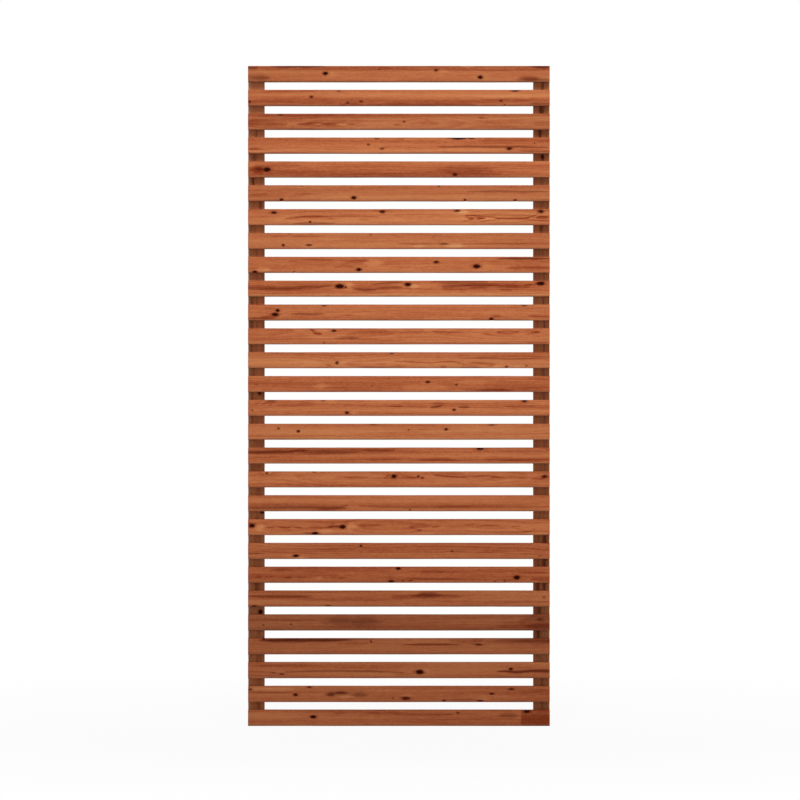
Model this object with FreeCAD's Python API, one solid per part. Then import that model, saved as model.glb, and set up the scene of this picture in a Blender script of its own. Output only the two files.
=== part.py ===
# Slatted fence panel: horizontal softwood slats, stapled from behind onto two upright battens.
# Millimetres, +Z up, +X to the right for someone facing the panel, -Y towards that person.
# The origin is on the ground, under the middle of the panel's width and depth.

import FreeCAD, Part
import os

from FreeCAD import Vector

# Overall size of the panel, seen from the front.
PANEL_WIDTH = 823.0
PANEL_HEIGHT = 1800.0

# Slats: planed boards with their wide side forward and their long edges rounded over.
SLAT_COUNT = 28
SLAT_FACE = 44.0
SLAT_THICKNESS = 18.0
SLAT_ARRIS = 2.5

# Battens: one upright behind each end of the slats, flush with the slats' ends.
BATTEN_FACE = 44.0
BATTEN_DEPTH = 34.0
BATTEN_ARRIS = 1.5

# Staples: bent from flat-sided wire and driven through a batten's back, one where each slat
# crosses it. The crown is the width over both legs. The sink is how far the crown lies under
# the batten's back, and the cover is the wood left between the points and the slat's front.
# The turn sets the crown askew to the grain of both boards, so that the legs split neither.
STAPLE_CROWN = 11.0
STAPLE_WIRE_WIDTH = 1.6
STAPLE_WIRE_THICKNESS = 1.4
STAPLE_POINT_LENGTH = 2.5
STAPLE_SINK = 0.5
STAPLE_COVER = 6.5
STAPLE_TURN_DEGREES = 45.0

# Room around a staple in the wood that it has been driven into.
STAPLE_CLEARANCE = 0.05

# How far a cutting shape runs past the face that it opens.
CUT_OVERRUN = 1.0

# Places that follow from the sizes.
slat_pitch = (PANEL_HEIGHT - SLAT_FACE) / (SLAT_COUNT - 1)
panel_depth = SLAT_THICKNESS + BATTEN_DEPTH
panel_front_y = -panel_depth / 2
seam_y = panel_front_y + SLAT_THICKNESS
panel_back_y = seam_y + BATTEN_DEPTH
panel_left_x = -PANEL_WIDTH / 2
staple_crown_y = panel_back_y - STAPLE_SINK
staple_point_y = panel_front_y + STAPLE_COVER


def rounded_section(corner, across, deep, arris):
    """A flat rectangle spanned by two vectors from one corner, with quarter-round corners."""
    sides = [across, deep, -across, -deep]
    edges = []
    for side, next_side in zip(sides, sides[1:] + sides[:1]):
        ahead = Vector(side).normalize() * arris
        turn = Vector(next_side).normalize() * arris
        end = corner + side
        centre = end - ahead + turn
        middle = centre + (ahead - turn).normalize() * arris
        edges.append(Part.LineSegment(corner + ahead, end - ahead).toShape())
        edges.append(Part.Arc(end - ahead, middle, end + turn).toShape())
        corner = end
    return Part.Face(Part.Wire(edges))


def staple(x, z, turn, room=0.0, lift=0.0):
    """A U of flat-sided wire with chisel points, whose crown is turned about Y at x and z.

    Room grows it on every side and lift raises its crown, which makes the cutter of its seat.
    """
    outer = STAPLE_CROWN / 2 + room
    inner = STAPLE_CROWN / 2 - STAPLE_WIRE_THICKNESS - room
    crown_y = staple_crown_y + lift
    bend_y = staple_crown_y - STAPLE_WIRE_THICKNESS - room
    point_y = staple_point_y - room
    slope_y = point_y + STAPLE_POINT_LENGTH
    outline = [
        (-outer, crown_y),
        (outer, crown_y),
        (outer, point_y),
        (inner, slope_y),
        (inner, bend_y),
        (-inner, bend_y),
        (-inner, slope_y),
        (-outer, point_y),
    ]
    width = STAPLE_WIRE_WIDTH + 2 * room
    points = [Vector(across, y, -width / 2) for across, y in outline]
    wire = Part.Face(Part.makePolygon(points + points[:1])).extrude(Vector(0, 0, width))
    wire.rotate(Vector(), Vector(0, 1, 0), turn)
    wire.translate(Vector(x, 0, z))
    return wire


def slat(low_z, seats):
    """One board: its rounded section swept across the panel, with a staple's slots at each batten."""
    section = rounded_section(
        Vector(panel_left_x, panel_front_y, low_z),
        Vector(0, SLAT_THICKNESS, 0),
        Vector(0, 0, SLAT_FACE),
        SLAT_ARRIS,
    )
    return section.extrude(Vector(PANEL_WIDTH, 0, 0)).cut(seats)


def batten(left_x, seats):
    """One upright: its rounded section swept up the panel, with a staple's seat at each slat."""
    section = rounded_section(
        Vector(left_x, seam_y, 0),
        Vector(BATTEN_FACE, 0, 0),
        Vector(0, BATTEN_DEPTH, 0),
        BATTEN_ARRIS,
    )
    return section.extrude(Vector(0, 0, PANEL_HEIGHT)).cut(seats)


# The slats are numbered from the top down. A staple sits in the middle of each crossing, and
# the staples of one batten mirror those of the other.
slat_low_z = [PANEL_HEIGHT - SLAT_FACE - row * slat_pitch for row in range(SLAT_COUNT)]
batten_left_x = {"left": panel_left_x, "right": -panel_left_x - BATTEN_FACE}
staple_turn = {"left": STAPLE_TURN_DEGREES, "right": -STAPLE_TURN_DEGREES}
seat_lift = STAPLE_SINK + CUT_OVERRUN

staples = {}
seats = {}
for side, left_x in batten_left_x.items():
    x = left_x + BATTEN_FACE / 2
    turn = staple_turn[side]
    rows_z = [low_z + SLAT_FACE / 2 for low_z in slat_low_z]
    staples[side] = [staple(x, z, turn) for z in rows_z]
    seats[side] = [staple(x, z, turn, STAPLE_CLEARANCE, seat_lift) for z in rows_z]

nodes = {}
for row, low_z in enumerate(slat_low_z):
    nodes[f"slat_{row + 1:02d}"] = slat(low_z, [side_seats[row] for side_seats in seats.values()])
for side, left_x in batten_left_x.items():
    nodes[f"{side}_batten"] = batten(left_x, seats[side])
    nodes[f"{side}_batten_staples"] = Part.makeCompound(staples[side])

os.makedirs("parts", exist_ok=True)
for name, shape in nodes.items():
    shape.exportStep(f"parts/{name}.step")

print(f"{len(nodes)} nodes, slat gap {slat_pitch - SLAT_FACE:.2f} mm")
print(f"staple length {staple_crown_y - staple_point_y:.1f} mm")
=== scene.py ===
import math

import bpy
import numpy as np
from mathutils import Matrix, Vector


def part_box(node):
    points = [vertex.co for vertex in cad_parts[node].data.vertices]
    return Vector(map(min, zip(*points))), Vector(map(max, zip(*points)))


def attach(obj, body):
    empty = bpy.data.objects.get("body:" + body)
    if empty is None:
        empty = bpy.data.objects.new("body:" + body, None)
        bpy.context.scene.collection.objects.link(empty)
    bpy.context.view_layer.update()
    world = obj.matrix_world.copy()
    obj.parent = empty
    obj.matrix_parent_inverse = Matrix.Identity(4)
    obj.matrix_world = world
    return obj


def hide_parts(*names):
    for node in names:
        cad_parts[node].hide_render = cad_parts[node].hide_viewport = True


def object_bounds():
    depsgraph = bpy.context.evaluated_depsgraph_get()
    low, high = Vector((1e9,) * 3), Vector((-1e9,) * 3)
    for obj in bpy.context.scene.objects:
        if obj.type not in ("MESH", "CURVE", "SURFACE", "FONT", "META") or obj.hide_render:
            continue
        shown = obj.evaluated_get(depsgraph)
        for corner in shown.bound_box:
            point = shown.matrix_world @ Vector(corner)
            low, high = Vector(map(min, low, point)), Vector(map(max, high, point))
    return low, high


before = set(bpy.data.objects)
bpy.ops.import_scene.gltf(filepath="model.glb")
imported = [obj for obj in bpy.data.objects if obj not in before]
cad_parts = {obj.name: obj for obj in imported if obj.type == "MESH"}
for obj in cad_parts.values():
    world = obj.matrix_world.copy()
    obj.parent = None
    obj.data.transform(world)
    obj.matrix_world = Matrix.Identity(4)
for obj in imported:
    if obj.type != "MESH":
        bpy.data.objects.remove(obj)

cad_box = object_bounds()


# Battens: two uprights of finely sawn softwood in a red-brown stain, one behind each end of the
# slats and flush with them. Each takes one staple from behind at every slat, and every crown has
# pressed a shallow hollow into the batten's back.

# How far the battens' edges are eased and the steps of their grids, along a batten, through it and
# across it, how many places crowd at a knot, and how many lengths a long side has in the bake map.
BATTEN_EASE = (0.0006, 0.0007, 0.0007)
BATTEN_STEPS = (0.012, 0.0028, 0.0028)
BATTEN_KNOT_STATIONS = 9
BATTEN_MAP_LENGTHS = 3

# Every board's grid: the places that round an edge, as shares of its ease, the fine grid that all
# other places are rounded to, and the distance below which two points are one. The map's rows lie
# a gap apart, and each end of the board takes a share of the top row.
EASE_SHARES = np.array([0.0, 0.25, 0.55, 1.0])
STATION_GRID = 0.0007
WELD = 1e-7
MAP_GAP = 0.006
MAP_END_SHARE = 0.5

# A board's six sides: the axes of its two grid directions, its fixed axis, and whether it lies
# at the low or the high end of that axis. Axis 0 runs along the board, 1 through it, 2 across.
BOARD_SIDES = (
    (0, 2, 1, 0),
    (2, 0, 1, 1),
    (0, 1, 2, 1),
    (1, 0, 2, 0),
    (1, 2, 0, 1),
    (2, 1, 0, 0),
)


def stations(length, step, ease, crowded):
    """Places along one edge of a board: even steps and crowded places, rounded to one fine grid,
    between the closer places that round its two ends."""
    inner = np.concatenate([np.arange(0, length, step), np.asarray(crowded, float)])
    inner = np.unique(np.round(inner / STATION_GRID)) * STATION_GRID
    inner = inner[(inner > ease + STATION_GRID) & (inner < length - ease - STATION_GRID)]
    end = ease * EASE_SHARES
    return np.concatenate([end, inner, length - end[::-1]])


def grid_quads(count_p, count_q):
    """The four corners of every cell of a grid whose points are counted row by row."""
    corner = np.arange(count_p - 1)[:, None] * count_q + np.arange(count_q - 1)
    return corner.reshape(-1, 1) + np.array([0, count_q, count_q + 1, 1])


def board(size, ease, steps, crowded, lengths):
    """A board with rounded edges, from the six gridded sides of a sharp box, whose grids have
    crowded places along the board.

    Each point goes to the nearest point of the box that is smaller by the ease, and out again
    by the ease the same way. The bake map stacks each long side as so many lengths, one above
    another, with both ends in its top row. Gives points, outward ways, quads and map corners.
    """
    places = [stations(*edge) for edge in zip(size, steps, ease, (crowded, (), ()))]
    size = np.asarray(size)
    ease = np.asarray(ease)
    rows = 4 * lengths + 1
    row_scale = (1 - (rows + 1) * MAP_GAP) / (2 * lengths * (size[1] + size[2]) + size[1])
    cuts = np.searchsorted(places[0], size[0] * np.arange(lengths + 1) / lengths)
    cuts[-1] = len(places[0]) - 1
    shelf = MAP_GAP
    points, quads, corners = [], [], []
    count = 0
    for p, q, fixed, high in BOARD_SIDES:
        spans = [slice(None)]
        if fixed != 0:
            spans = [slice(low, top + 1) for low, top in zip(cuts[:-1], cuts[1:])]
        for span in spans:
            used = list(places)
            used[0] = places[0][span]
            first, second = np.meshgrid(used[p], used[q], indexing="ij")
            grid = np.empty(first.shape + (3,))
            grid[..., p] = first
            grid[..., q] = second
            grid[..., fixed] = size[fixed] * high
            flat = grid.reshape(-1, 3)
            cells = grid_quads(*first.shape)
            if fixed != 0:
                across = 3 - fixed
                start, stop = used[0][0], used[0][-1]
                u = MAP_GAP + (1 - 2 * MAP_GAP) * (flat[:, 0] - start) / (stop - start)
                v = shelf + flat[:, across] * row_scale
                shelf += size[across] * row_scale + MAP_GAP
            else:
                u = MAP_GAP + (MAP_END_SHARE - 2 * MAP_GAP) * flat[:, 2] / size[2] + MAP_END_SHARE * high
                v = shelf + flat[:, 1] * row_scale
            points.append(flat)
            quads.append(cells + count)
            corners.append(np.stack([u, v], axis=1)[cells])
            count += len(flat)
    points = np.concatenate(points)
    quads = np.concatenate(quads)
    _, kept, joined = np.unique(np.round(points / WELD), axis=0, return_index=True, return_inverse=True)
    points = points[kept]
    quads = joined.reshape(-1)[quads]
    inner = np.clip(points, ease, size - ease)
    outward = (points - inner) / ease
    outward /= np.linalg.norm(outward, axis=1, keepdims=True)
    return inner + outward * ease, outward, quads, np.concatenate(corners)


# How many waves a wavering line has, and the power by which their heights fall with their lengths.
WAVE_COUNT = 6
WAVE_FALL = 0.8


def wander(draw, along, reach, longest, shortest, count=WAVE_COUNT):
    """A smooth wavering line: a sum of sines of random phase, whose lengths fall from the longest
    to the shortest and whose heights fall with them."""
    lengths = np.geomspace(longest, shortest, count)
    heights = reach * (lengths / longest) ** WAVE_FALL
    phases = draw.uniform(0, 2 * np.pi, count)
    waves = np.sin(2 * np.pi * along[:, None] / lengths + phases) * heights
    return waves.sum(axis=1)


# Knots lean by a share of their depth in the board, and have an outline of two powers. The mesh is
# finer round them, out to so many of their half lengths.
KNOT_LEAN_SHARE = 0.12
KNOT_POWERS = (1.65, 2.1)
KNOT_CROWD_REACH = 2


def nearest_knot(points, knots):
    """Distance from the nearest knot's axis in shares of its half length and half height, and
    which knot that is. The share along the grain has the lower power, which draws the outline out
    to a point both ways. Knots are rows of (along, across, half length, half height, darkness),
    and run through the board with a slight lean."""
    lean = KNOT_LEAN_SHARE * points[:, 1, None]
    along = np.abs(points[:, 0, None] - knots[:, 0] - lean) / knots[:, 2]
    across = np.abs(points[:, 2, None] - knots[:, 1] + lean) / knots[:, 3]
    reach = (along ** KNOT_POWERS[0] + across ** KNOT_POWERS[1]) ** (2 / sum(KNOT_POWERS))
    nearest = reach.argmin(axis=1)
    return reach[np.arange(len(points)), nearest], nearest


def knot_places(knots, count):
    """So many even places along the board at each knot, to both sides of its middle."""
    spread = np.linspace(-KNOT_CROWD_REACH, KNOT_CROWD_REACH, count)
    return (knots[:, :1] + knots[:, 2:3] * spread).ravel()


# How gently the pith line bends, how far from there it keeps its lean, and the waves of its depth
# and height, as reach, longest, shortest and count. The rings have waves of their own, which
# slant across the board, and swell round a knot over so many of its half lengths and half heights.
PITH_BEND = 0.02
PITH_REACH = 0.15
PITH_DEPTH_WAVES = (0.0016, 0.9, 0.25, 4)
PITH_HEIGHT_WAVES = (0.0016, 0.8, 0.20, 4)
RING_WAVES = (0.0003, 0.4, 0.10, 4)
RING_SLANT = 2.5
KNOT_SWELL_REACH = (4.5, 2.4)
KNOT_SWELL_SHARE = 0.8


def growth_rings(points, draw, pith, ring_width, knots):
    """Growth rings as a running count: the distance from a wandering pith line, over the ring
    width, with the rings swelling round each knot. The pith line bends at one place along the
    board, and for a short way on both sides it runs deeper into it, or nearer to its face."""
    place, depth, height, lean_depth, lean_height = pith
    along = points[:, 0]
    beyond = PITH_REACH * np.tanh(np.hypot(along - place, PITH_BEND) / PITH_REACH)
    away = points[:, 1] - depth - lean_depth * beyond - wander(draw, along, *PITH_DEPTH_WAVES)
    aside = points[:, 2] - height - lean_height * (along - place)
    aside -= wander(draw, along, *PITH_HEIGHT_WAVES)
    radius = np.hypot(away, aside)
    radius += wander(draw, along + RING_SLANT * points[:, 2], *RING_WAVES)
    reach_along = (along[:, None] - knots[:, 0]) / (KNOT_SWELL_REACH[0] * knots[:, 2])
    reach_across = (points[:, 2, None] - knots[:, 1]) / (KNOT_SWELL_REACH[1] * knots[:, 3])
    swell = np.exp(-(reach_along**2) - reach_across**2) * knots[:, 3] * KNOT_SWELL_SHARE
    return (radius + swell.sum(axis=1)) / ring_width


def piece(name, points, quads, material, layers=None, bake_map=None):
    """A mesh object at the origin, smooth shaded, with its number layers and its bake map."""
    mesh = bpy.data.meshes.new(name)
    mesh.from_pydata(points, [], quads, shade_flat=False)
    for label, values in (layers or {}).items():
        mesh.attributes.new(label, "FLOAT", "POINT").data.foreach_set("value", values)
    if bake_map is not None:
        mesh.uv_layers.new(name="OFBake").data.foreach_set("uv", bake_map.ravel())
    mesh.materials.append(material)
    made = bpy.data.objects.new(name, mesh)
    bpy.context.scene.collection.objects.link(made)
    return made


class Flow:
    """A socket of a material's nodes. Sums on flows add Math nodes, and node() adds any other."""

    def __init__(self, tree, socket=None):
        self.tree = tree
        self.socket = socket

    def node(self, kind, settings, values, output=0):
        """Adds a node, sets its settings, then its sockets' values or links, and gives an output."""
        made = self.tree.nodes.new(kind)
        for name, setting in settings.items():
            setattr(made, name, setting)
        for name, value in values.items():
            if isinstance(value, Flow):
                self.tree.links.new(value.socket, made.inputs[name])
            else:
                made.inputs[name].default_value = value
        return Flow(self.tree, made.outputs[output]) if made.outputs else None

    def maths(self, operation, left, right=0.0):
        """One Math node on one or two values."""
        return self.node("ShaderNodeMath", {"operation": operation}, {0: left, 1: right})

    def __add__(self, other):
        return self.maths("ADD", self, other)

    def __radd__(self, other):
        return self.maths("ADD", other, self)

    def __sub__(self, other):
        return self.maths("SUBTRACT", self, other)

    def __rsub__(self, other):
        return self.maths("SUBTRACT", other, self)

    def __mul__(self, other):
        return self.maths("MULTIPLY", self, other)

    def __rmul__(self, other):
        return self.maths("MULTIPLY", other, self)


def new_material(name):
    """An empty node material, as a flow without a socket, and the material itself."""
    material = bpy.data.materials.new(name)
    material.use_nodes = True
    material.node_tree.nodes.clear()
    return Flow(material.node_tree), material


def seen(red, green, blue):
    """A colour as it looks on screen, from 0 to 255, turned into the linear light of a shader by
    the usual screen curve, which is straight near black and a power above."""
    share = np.array([red, green, blue]) / 255
    linear = np.where(share <= 0.04045, share / 12.92, ((share + 0.055) / 1.055) ** 2.4)
    return (*linear.tolist(), 1.0)


def layer(nodes, name):
    """A number layer of the mesh."""
    return nodes.node("ShaderNodeAttribute", {"attribute_name": name}, {}, "Fac")


def smooth(value, low, high):
    """0 below low, 1 above high, and an S between them. Low may be above high."""
    sockets = {"Value": value, "From Min": low, "From Max": high}
    return value.node("ShaderNodeMapRange", {"interpolation_type": "SMOOTHSTEP"}, sockets)


def speckle(nodes, stretch, detail=3.0, roughness=0.6):
    """Cloudy noise on the object's own coordinates, with so many clouds to the metre each way."""
    place = nodes.node("ShaderNodeTexCoord", {}, {}, "Object")
    place = nodes.node("ShaderNodeVectorMath", {"operation": "MULTIPLY"}, {0: place, 1: stretch})
    sockets = {"Vector": place, "Scale": 1.0, "Detail": detail, "Roughness": roughness}
    return nodes.node("ShaderNodeTexNoise", {}, sockets, "Fac")


def mixed(share, under, over, blend="MIX"):
    """Two colours mixed by a share, which is held between 0 and 1."""
    settings = {"data_type": "RGBA", "blend_type": blend, "clamp_factor": True}
    return share.node("ShaderNodeMix", settings, {0: share, 6: under, 7: over}, 2)


# Rings: the clouds that ruffle them, to the metre across and along the grain, and by how much.
# Late wood starts and ends at shares of a ring's width, and the faintest ring keeps a share of it.
CLOUD_MIDDLE = 0.5
RING_CLOUDS = (110.0, 2.2)
RING_CLOUD_SHARE = 0.3
LATE_WOOD_START = (0.2, 0.9)
LATE_WOOD_END = (1.0, 0.92)
LATE_WOOD_SHARE = 0.35
FAINT_RING_SHARE = 0.35

# Clouds in the fibres and the stain: how many to the metre across and along the grain, and what
# each adds to the grain's darkness. Flecks are the peaks of finer clouds.
WOOD_CLOUDS = {
    "fibre": (700.0, 14.0, 0.28),
    "thread": (330.0, 4.0, 0.32),
    "mottle": (170.0, 45.0, 0.5),
    "speck": (260.0, 130.0, 0.55),
    "shade": (95.0, 2.0, 1.15),
    "blotch": (25.0, 0.9, 0.7),
}
FLECK_CLOUDS = (1100.0, 30.0)
FLECK_EDGES = (0.60, 0.74)

# From darkness to colour: the grain's gain and level, how much of a streak counts as grain, and how
# fast the wood turns from pale to middle, from middle to dark, and below zero to its palest.
GRAIN_GAIN = 0.77
GRAIN_LEVEL = 0.42
STREAK_GRAIN_SHARE = 0.5
MIDDLE_GAIN = 1.85
DARK_GAIN = 2.17
PALEST_GAIN = 3.0
WOOD_COLOURS = {
    "palest": seen(238, 180, 128),
    "fleck": seen(110, 48, 26),
    # Multiplied in by the board's tone, which in the lower slats also holds painted shade.
    "tone_and_shade": seen(148, 144, 158),
    # Painted shade along the slats' lower rounded edges.
    "painted_underside_shade": seen(112, 84, 68),
    "streak": seen(90, 30, 14),
    "knot rim": seen(126, 44, 20),
    "knot core": seen(54, 11, 4),
    "end grain": seen(96, 50, 32),
}

# Marks on the wood: how much of each colour shows, how a streak follows the fibres, and where a
# knot's ruffled rim and core begin and are full, in shares of its half size.
FLECK_SHARE = 0.35
STREAK_SHARE = 0.4
STREAK_FIBRE_SHARE = 1.1
KNOT_CLOUDS = (300.0, 300.0, 300.0)
KNOT_CLOUD_DETAIL = (2.0, 0.5)
KNOT_CLOUD_SHARE = 0.8
KNOT_RIM_EDGES = (2.2, 1.0)
KNOT_RIM_SHARE = 0.5
KNOT_CORE_EDGES = (1.35, 0.75)
END_GRAIN_SHARE = 0.45

# Surface: the height of fibres and late wood, the depth of flecks, the strength of the bump, what
# fibres and end grain add to the roughness, and the low gloss of a matt stain.
FIBRE_HEIGHT_SHARE = 0.6
LATE_WOOD_HEIGHT_SHARE = 0.4
FLECK_DEPTH_SHARE = 0.5
BUMP_STRENGTH = 0.6
FIBRE_ROUGHNESS = 0.2
END_GRAIN_ROUGHNESS = 0.1
WOOD_SPECULAR = 0.03


def stained_wood(name, grain_axis, pale, middle, dark, roughness, bump_depth):
    """Stained softwood, seen through its rings: pale early wood darkens through each ring and
    ends sharply in late wood, over fibres and flecks along the grain and blotches of stain.
    Layers of the mesh give the ring count, bands (with painted shade on the slats' rounded edges
    and painted light at the battens' tops), knots, streaks, painted shade along the lower edge, end
    grain, and the board's tone, which in the lower slats also holds painted shade."""
    nodes, material = new_material(name)

    def drawn_out(across, along):
        """Noise drawn out along the grain, with so many clouds to the metre across and along it."""
        stretch = [across, across, across]
        stretch[grain_axis] = along
        return speckle(nodes, stretch)

    rings = layer(nodes, "rings") + RING_CLOUD_SHARE * drawn_out(*RING_CLOUDS)
    within = nodes.maths("FRACT", rings)
    number = nodes.maths("FLOOR", rings)
    ring_mark = nodes.node("ShaderNodeTexWhiteNoise", {"noise_dimensions": "1D"}, {"W": number})
    late_wood = smooth(within, *LATE_WOOD_START) * smooth(within, *LATE_WOOD_END)
    late_wood = late_wood * (FAINT_RING_SHARE + (1 - FAINT_RING_SHARE) * ring_mark)

    clouds = {}
    grain = LATE_WOOD_SHARE * late_wood
    for label, (across, along, amount) in WOOD_CLOUDS.items():
        clouds[label] = drawn_out(across, along)
        grain = grain + amount * (clouds[label] - CLOUD_MIDDLE)
    fibre = clouds["fibre"]
    fleck = smooth(drawn_out(*FLECK_CLOUDS), *FLECK_EDGES)
    streak = layer(nodes, "streak")
    end_grain = layer(nodes, "end_grain")

    share = GRAIN_GAIN * (grain + layer(nodes, "bands") + STREAK_GRAIN_SHARE * streak) + GRAIN_LEVEL
    wood = mixed(MIDDLE_GAIN * share, pale, middle)
    wood = mixed(DARK_GAIN * share - (DARK_GAIN - 1), wood, dark)
    wood = mixed(-PALEST_GAIN * share, wood, WOOD_COLOURS["palest"])
    wood = mixed(fleck * FLECK_SHARE, wood, WOOD_COLOURS["fleck"])
    # The board's own tone, and in the lower slats painted shade where the lamp's light falls off.
    wood = mixed(layer(nodes, "tone_and_shade"), wood, WOOD_COLOURS["tone_and_shade"], "MULTIPLY")
    # Painted shade along the slats' lower edges.
    wood = mixed(layer(nodes, "painted_underside_shade"), wood, WOOD_COLOURS["painted_underside_shade"])
    wood = mixed(streak * (STREAK_SHARE + STREAK_FIBRE_SHARE * fibre), wood, WOOD_COLOURS["streak"])
    ruffle = speckle(nodes, KNOT_CLOUDS, *KNOT_CLOUD_DETAIL) - CLOUD_MIDDLE
    reach = layer(nodes, "knot") + KNOT_CLOUD_SHARE * ruffle
    knot_mark = layer(nodes, "knot_mark")
    rim = smooth(reach, *KNOT_RIM_EDGES) * knot_mark * KNOT_RIM_SHARE
    wood = mixed(rim, wood, WOOD_COLOURS["knot rim"])
    wood = mixed(smooth(reach, *KNOT_CORE_EDGES) * knot_mark, wood, WOOD_COLOURS["knot core"])
    wood = mixed(end_grain * END_GRAIN_SHARE, wood, WOOD_COLOURS["end grain"])

    height = fibre * FIBRE_HEIGHT_SHARE + late_wood * LATE_WOOD_HEIGHT_SHARE - fleck * FLECK_DEPTH_SHARE
    bump = {"Strength": BUMP_STRENGTH, "Distance": bump_depth, "Height": height}
    sockets = {
        "Base Color": wood,
        "Roughness": roughness + FIBRE_ROUGHNESS * (fibre - CLOUD_MIDDLE) + END_GRAIN_ROUGHNESS * end_grain,
        "Normal": nodes.node("ShaderNodeBump", {}, bump),
        "Specular IOR Level": WOOD_SPECULAR,
    }
    surface = nodes.node("ShaderNodeBsdfPrincipled", {}, sockets)
    nodes.node("ShaderNodeOutputMaterial", {}, {"Surface": surface})
    return material


batten_wood = stained_wood(
    "sawn_stained_batten",
    grain_axis=2,
    pale=seen(216, 139, 93),
    middle=seen(187, 116, 76),
    dark=seen(147, 87, 56),
    roughness=0.8,
    bump_depth=0.0005,
)

# The panel in the photograph: the x of its middle and the y of its top and foot, in pixels.
PANEL_MIDDLE_PX = 398.88
PANEL_TOP_PX = 65.87
PANEL_FOOT_PX = 726.06
PIXEL = (cad_box[1].z - cad_box[0].z) / (PANEL_FOOT_PX - PANEL_TOP_PX)

# Knots and cracks of the battens, as they show in the gaps between the slats. Knots are middle
# x and y, half width and half height in pixels of the photograph, and darkness. Cracks are x, top
# and bottom y, half width and darkness.
BATTEN_KNOTS_PX = {
    "left": [(259.4, 392.8, 1.6, 2.0, 0.9), (262.1, 512.3, 1.8, 1.5, 0.9), (260.3, 612.3, 2.0, 2.2, 1.0)],
    "right": [(542.7, 156.6, 1.5, 2.8, 0.9)],
}
BATTEN_CRACKS_PX = {
    "left": [(256.4, 120, 140, 0.6, 0.5), (253.8, 148, 165, 1.3, 0.5), (252.9, 172, 188, 0.9, 0.8),
             (260.3, 196, 212, 0.8, 0.5), (251.4, 222, 232, 0.6, 0.4), (251.5, 290, 355, 1.0, 0.45),
             (252.3, 394, 426, 0.6, 0.4), (262.8, 388, 400, 0.6, 0.5), (252.0, 464, 474, 0.8, 0.4),
             (256.5, 578, 594, 1.6, 0.35), (259.0, 700, 712, 1.0, 0.25)],
    "right": [(543.0, 60, 118, 1.0, 0.65), (540.8, 100, 140, 1.1, 0.85), (541.6, 222, 231, 1.2, 0.6),
              (543.6, 246, 300, 0.5, 0.35), (544.4, 300, 425, 0.5, 0.5), (544.6, 530, 592, 1.6, 0.8),
              (538.6, 566, 598, 1.2, 0.5), (539.2, 600, 642, 1.1, 0.65), (542.2, 672, 726, 0.9, 0.35)],
}

# How a crack wavers, how much wider it is drawn than it was read, and how far it fades out.
CRACK_WAVES = (0.0008, 0.2, 0.02)
CRACK_WIDENING = 1.6
CRACK_FADE = 0.01

# Knots of the battens that the slats hide: their number, half widths, how far they keep from the
# edges, how much taller than wide they are, and how faint the faintest is.
HIDDEN_KNOTS = 5
HIDDEN_KNOT_HALVES = (0.003, 0.006)
HIDDEN_KNOT_MARGIN = 0.006
HIDDEN_KNOT_STRETCH = 1.3
HIDDEN_KNOT_FAINTEST = 0.5

# Growth and finish: the seeds, the pith line's place, depth, greatest height and leans, the width
# of a ring, each batten's tone, and how much paler the top is painted, as painted light where the
# lamp reaches into the top gaps, from where and over what length.
BATTEN_SEEDS = {"left": 11, "right": 12}
BATTEN_PITH_PLACE = 0.9
BATTEN_PITH_DEPTH = 0.05
BATTEN_PITH_HEIGHT = 0.04
BATTEN_PITH_LEANS = (0.004, 0.006)
BATTEN_RING_WIDTH = 0.003
BATTEN_TONE_SHARES = {"left": 0.0, "right": 0.20}
BATTEN_TOP_LIGHT_SHARE = 0.4
BATTEN_TOP_LIGHT_START = 1.60
BATTEN_TOP_LIGHT_FADE = 0.14

# Cuts in the surface: saw marks that bow across the board, dishes at the knots, and the hollows of
# the staples' crowns, with their turns, half length and half width, depth and crowded places. They
# take only the points that face back squarely.
SAW_DEPTH = 0.00006
SAW_STEP = 0.0011
SAW_BOW = 3
SAW_BOW_WIDTH = 0.02
BATTEN_DISH_DEPTH = 0.0004
STAPLE_TURNS = {"left": math.radians(45), "right": math.radians(-45)}
STAPLE_HOLLOW = (0.0078, 0.0036)
STAPLE_HOLLOW_DEPTH = 0.0009
STAPLE_HOLLOW_STATIONS = STATION_GRID * np.array([-12, -9, -7, -5, -3, -1, 1, 3, 5, 7, 9, 12])
SQUARELY = 0.7

slat_names = sorted(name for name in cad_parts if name.startswith("slat_"))
slat_boxes = {name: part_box(name) for name in slat_names}
crossing_z = np.array([(low.z + high.z) / 2 for low, high in slat_boxes.values()])

# A stroke's tips take up a share of its length at each end, and are thinner than its middle.
STROKE_TIP_SHARE = 0.25
STROKE_TIP_THINNEST_SHARE = 0.45


def panel_x(pixel):
    """A place across the photograph, in pixels, as metres to the right of the panel's middle."""
    return (pixel - PANEL_MIDDLE_PX) * PIXEL


def panel_z(pixel):
    """A place down the photograph, in pixels, as metres above the panel's foot."""
    return (PANEL_FOOT_PX - pixel) * PIXEL


def stroke(along, across, start, stop, line, half_height, fade):
    """A soft stroke along a board: full between start and stop, fading past them, bell-shaped
    across its line, and drawn out to thin tips."""
    inside = np.clip((along - start) / fade + 1, 0, 1) * np.clip((stop - along) / fade + 1, 0, 1)
    to_tip = np.minimum(along - start, stop - along) / (stop - start)
    to_tip = np.clip(to_tip / STROKE_TIP_SHARE, 0, 1)
    half = half_height * (STROKE_TIP_THINNEST_SHARE + (1 - STROKE_TIP_THINNEST_SHARE) * to_tip)
    return inside * np.exp(-(((across - line) / half) ** 2))


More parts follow.
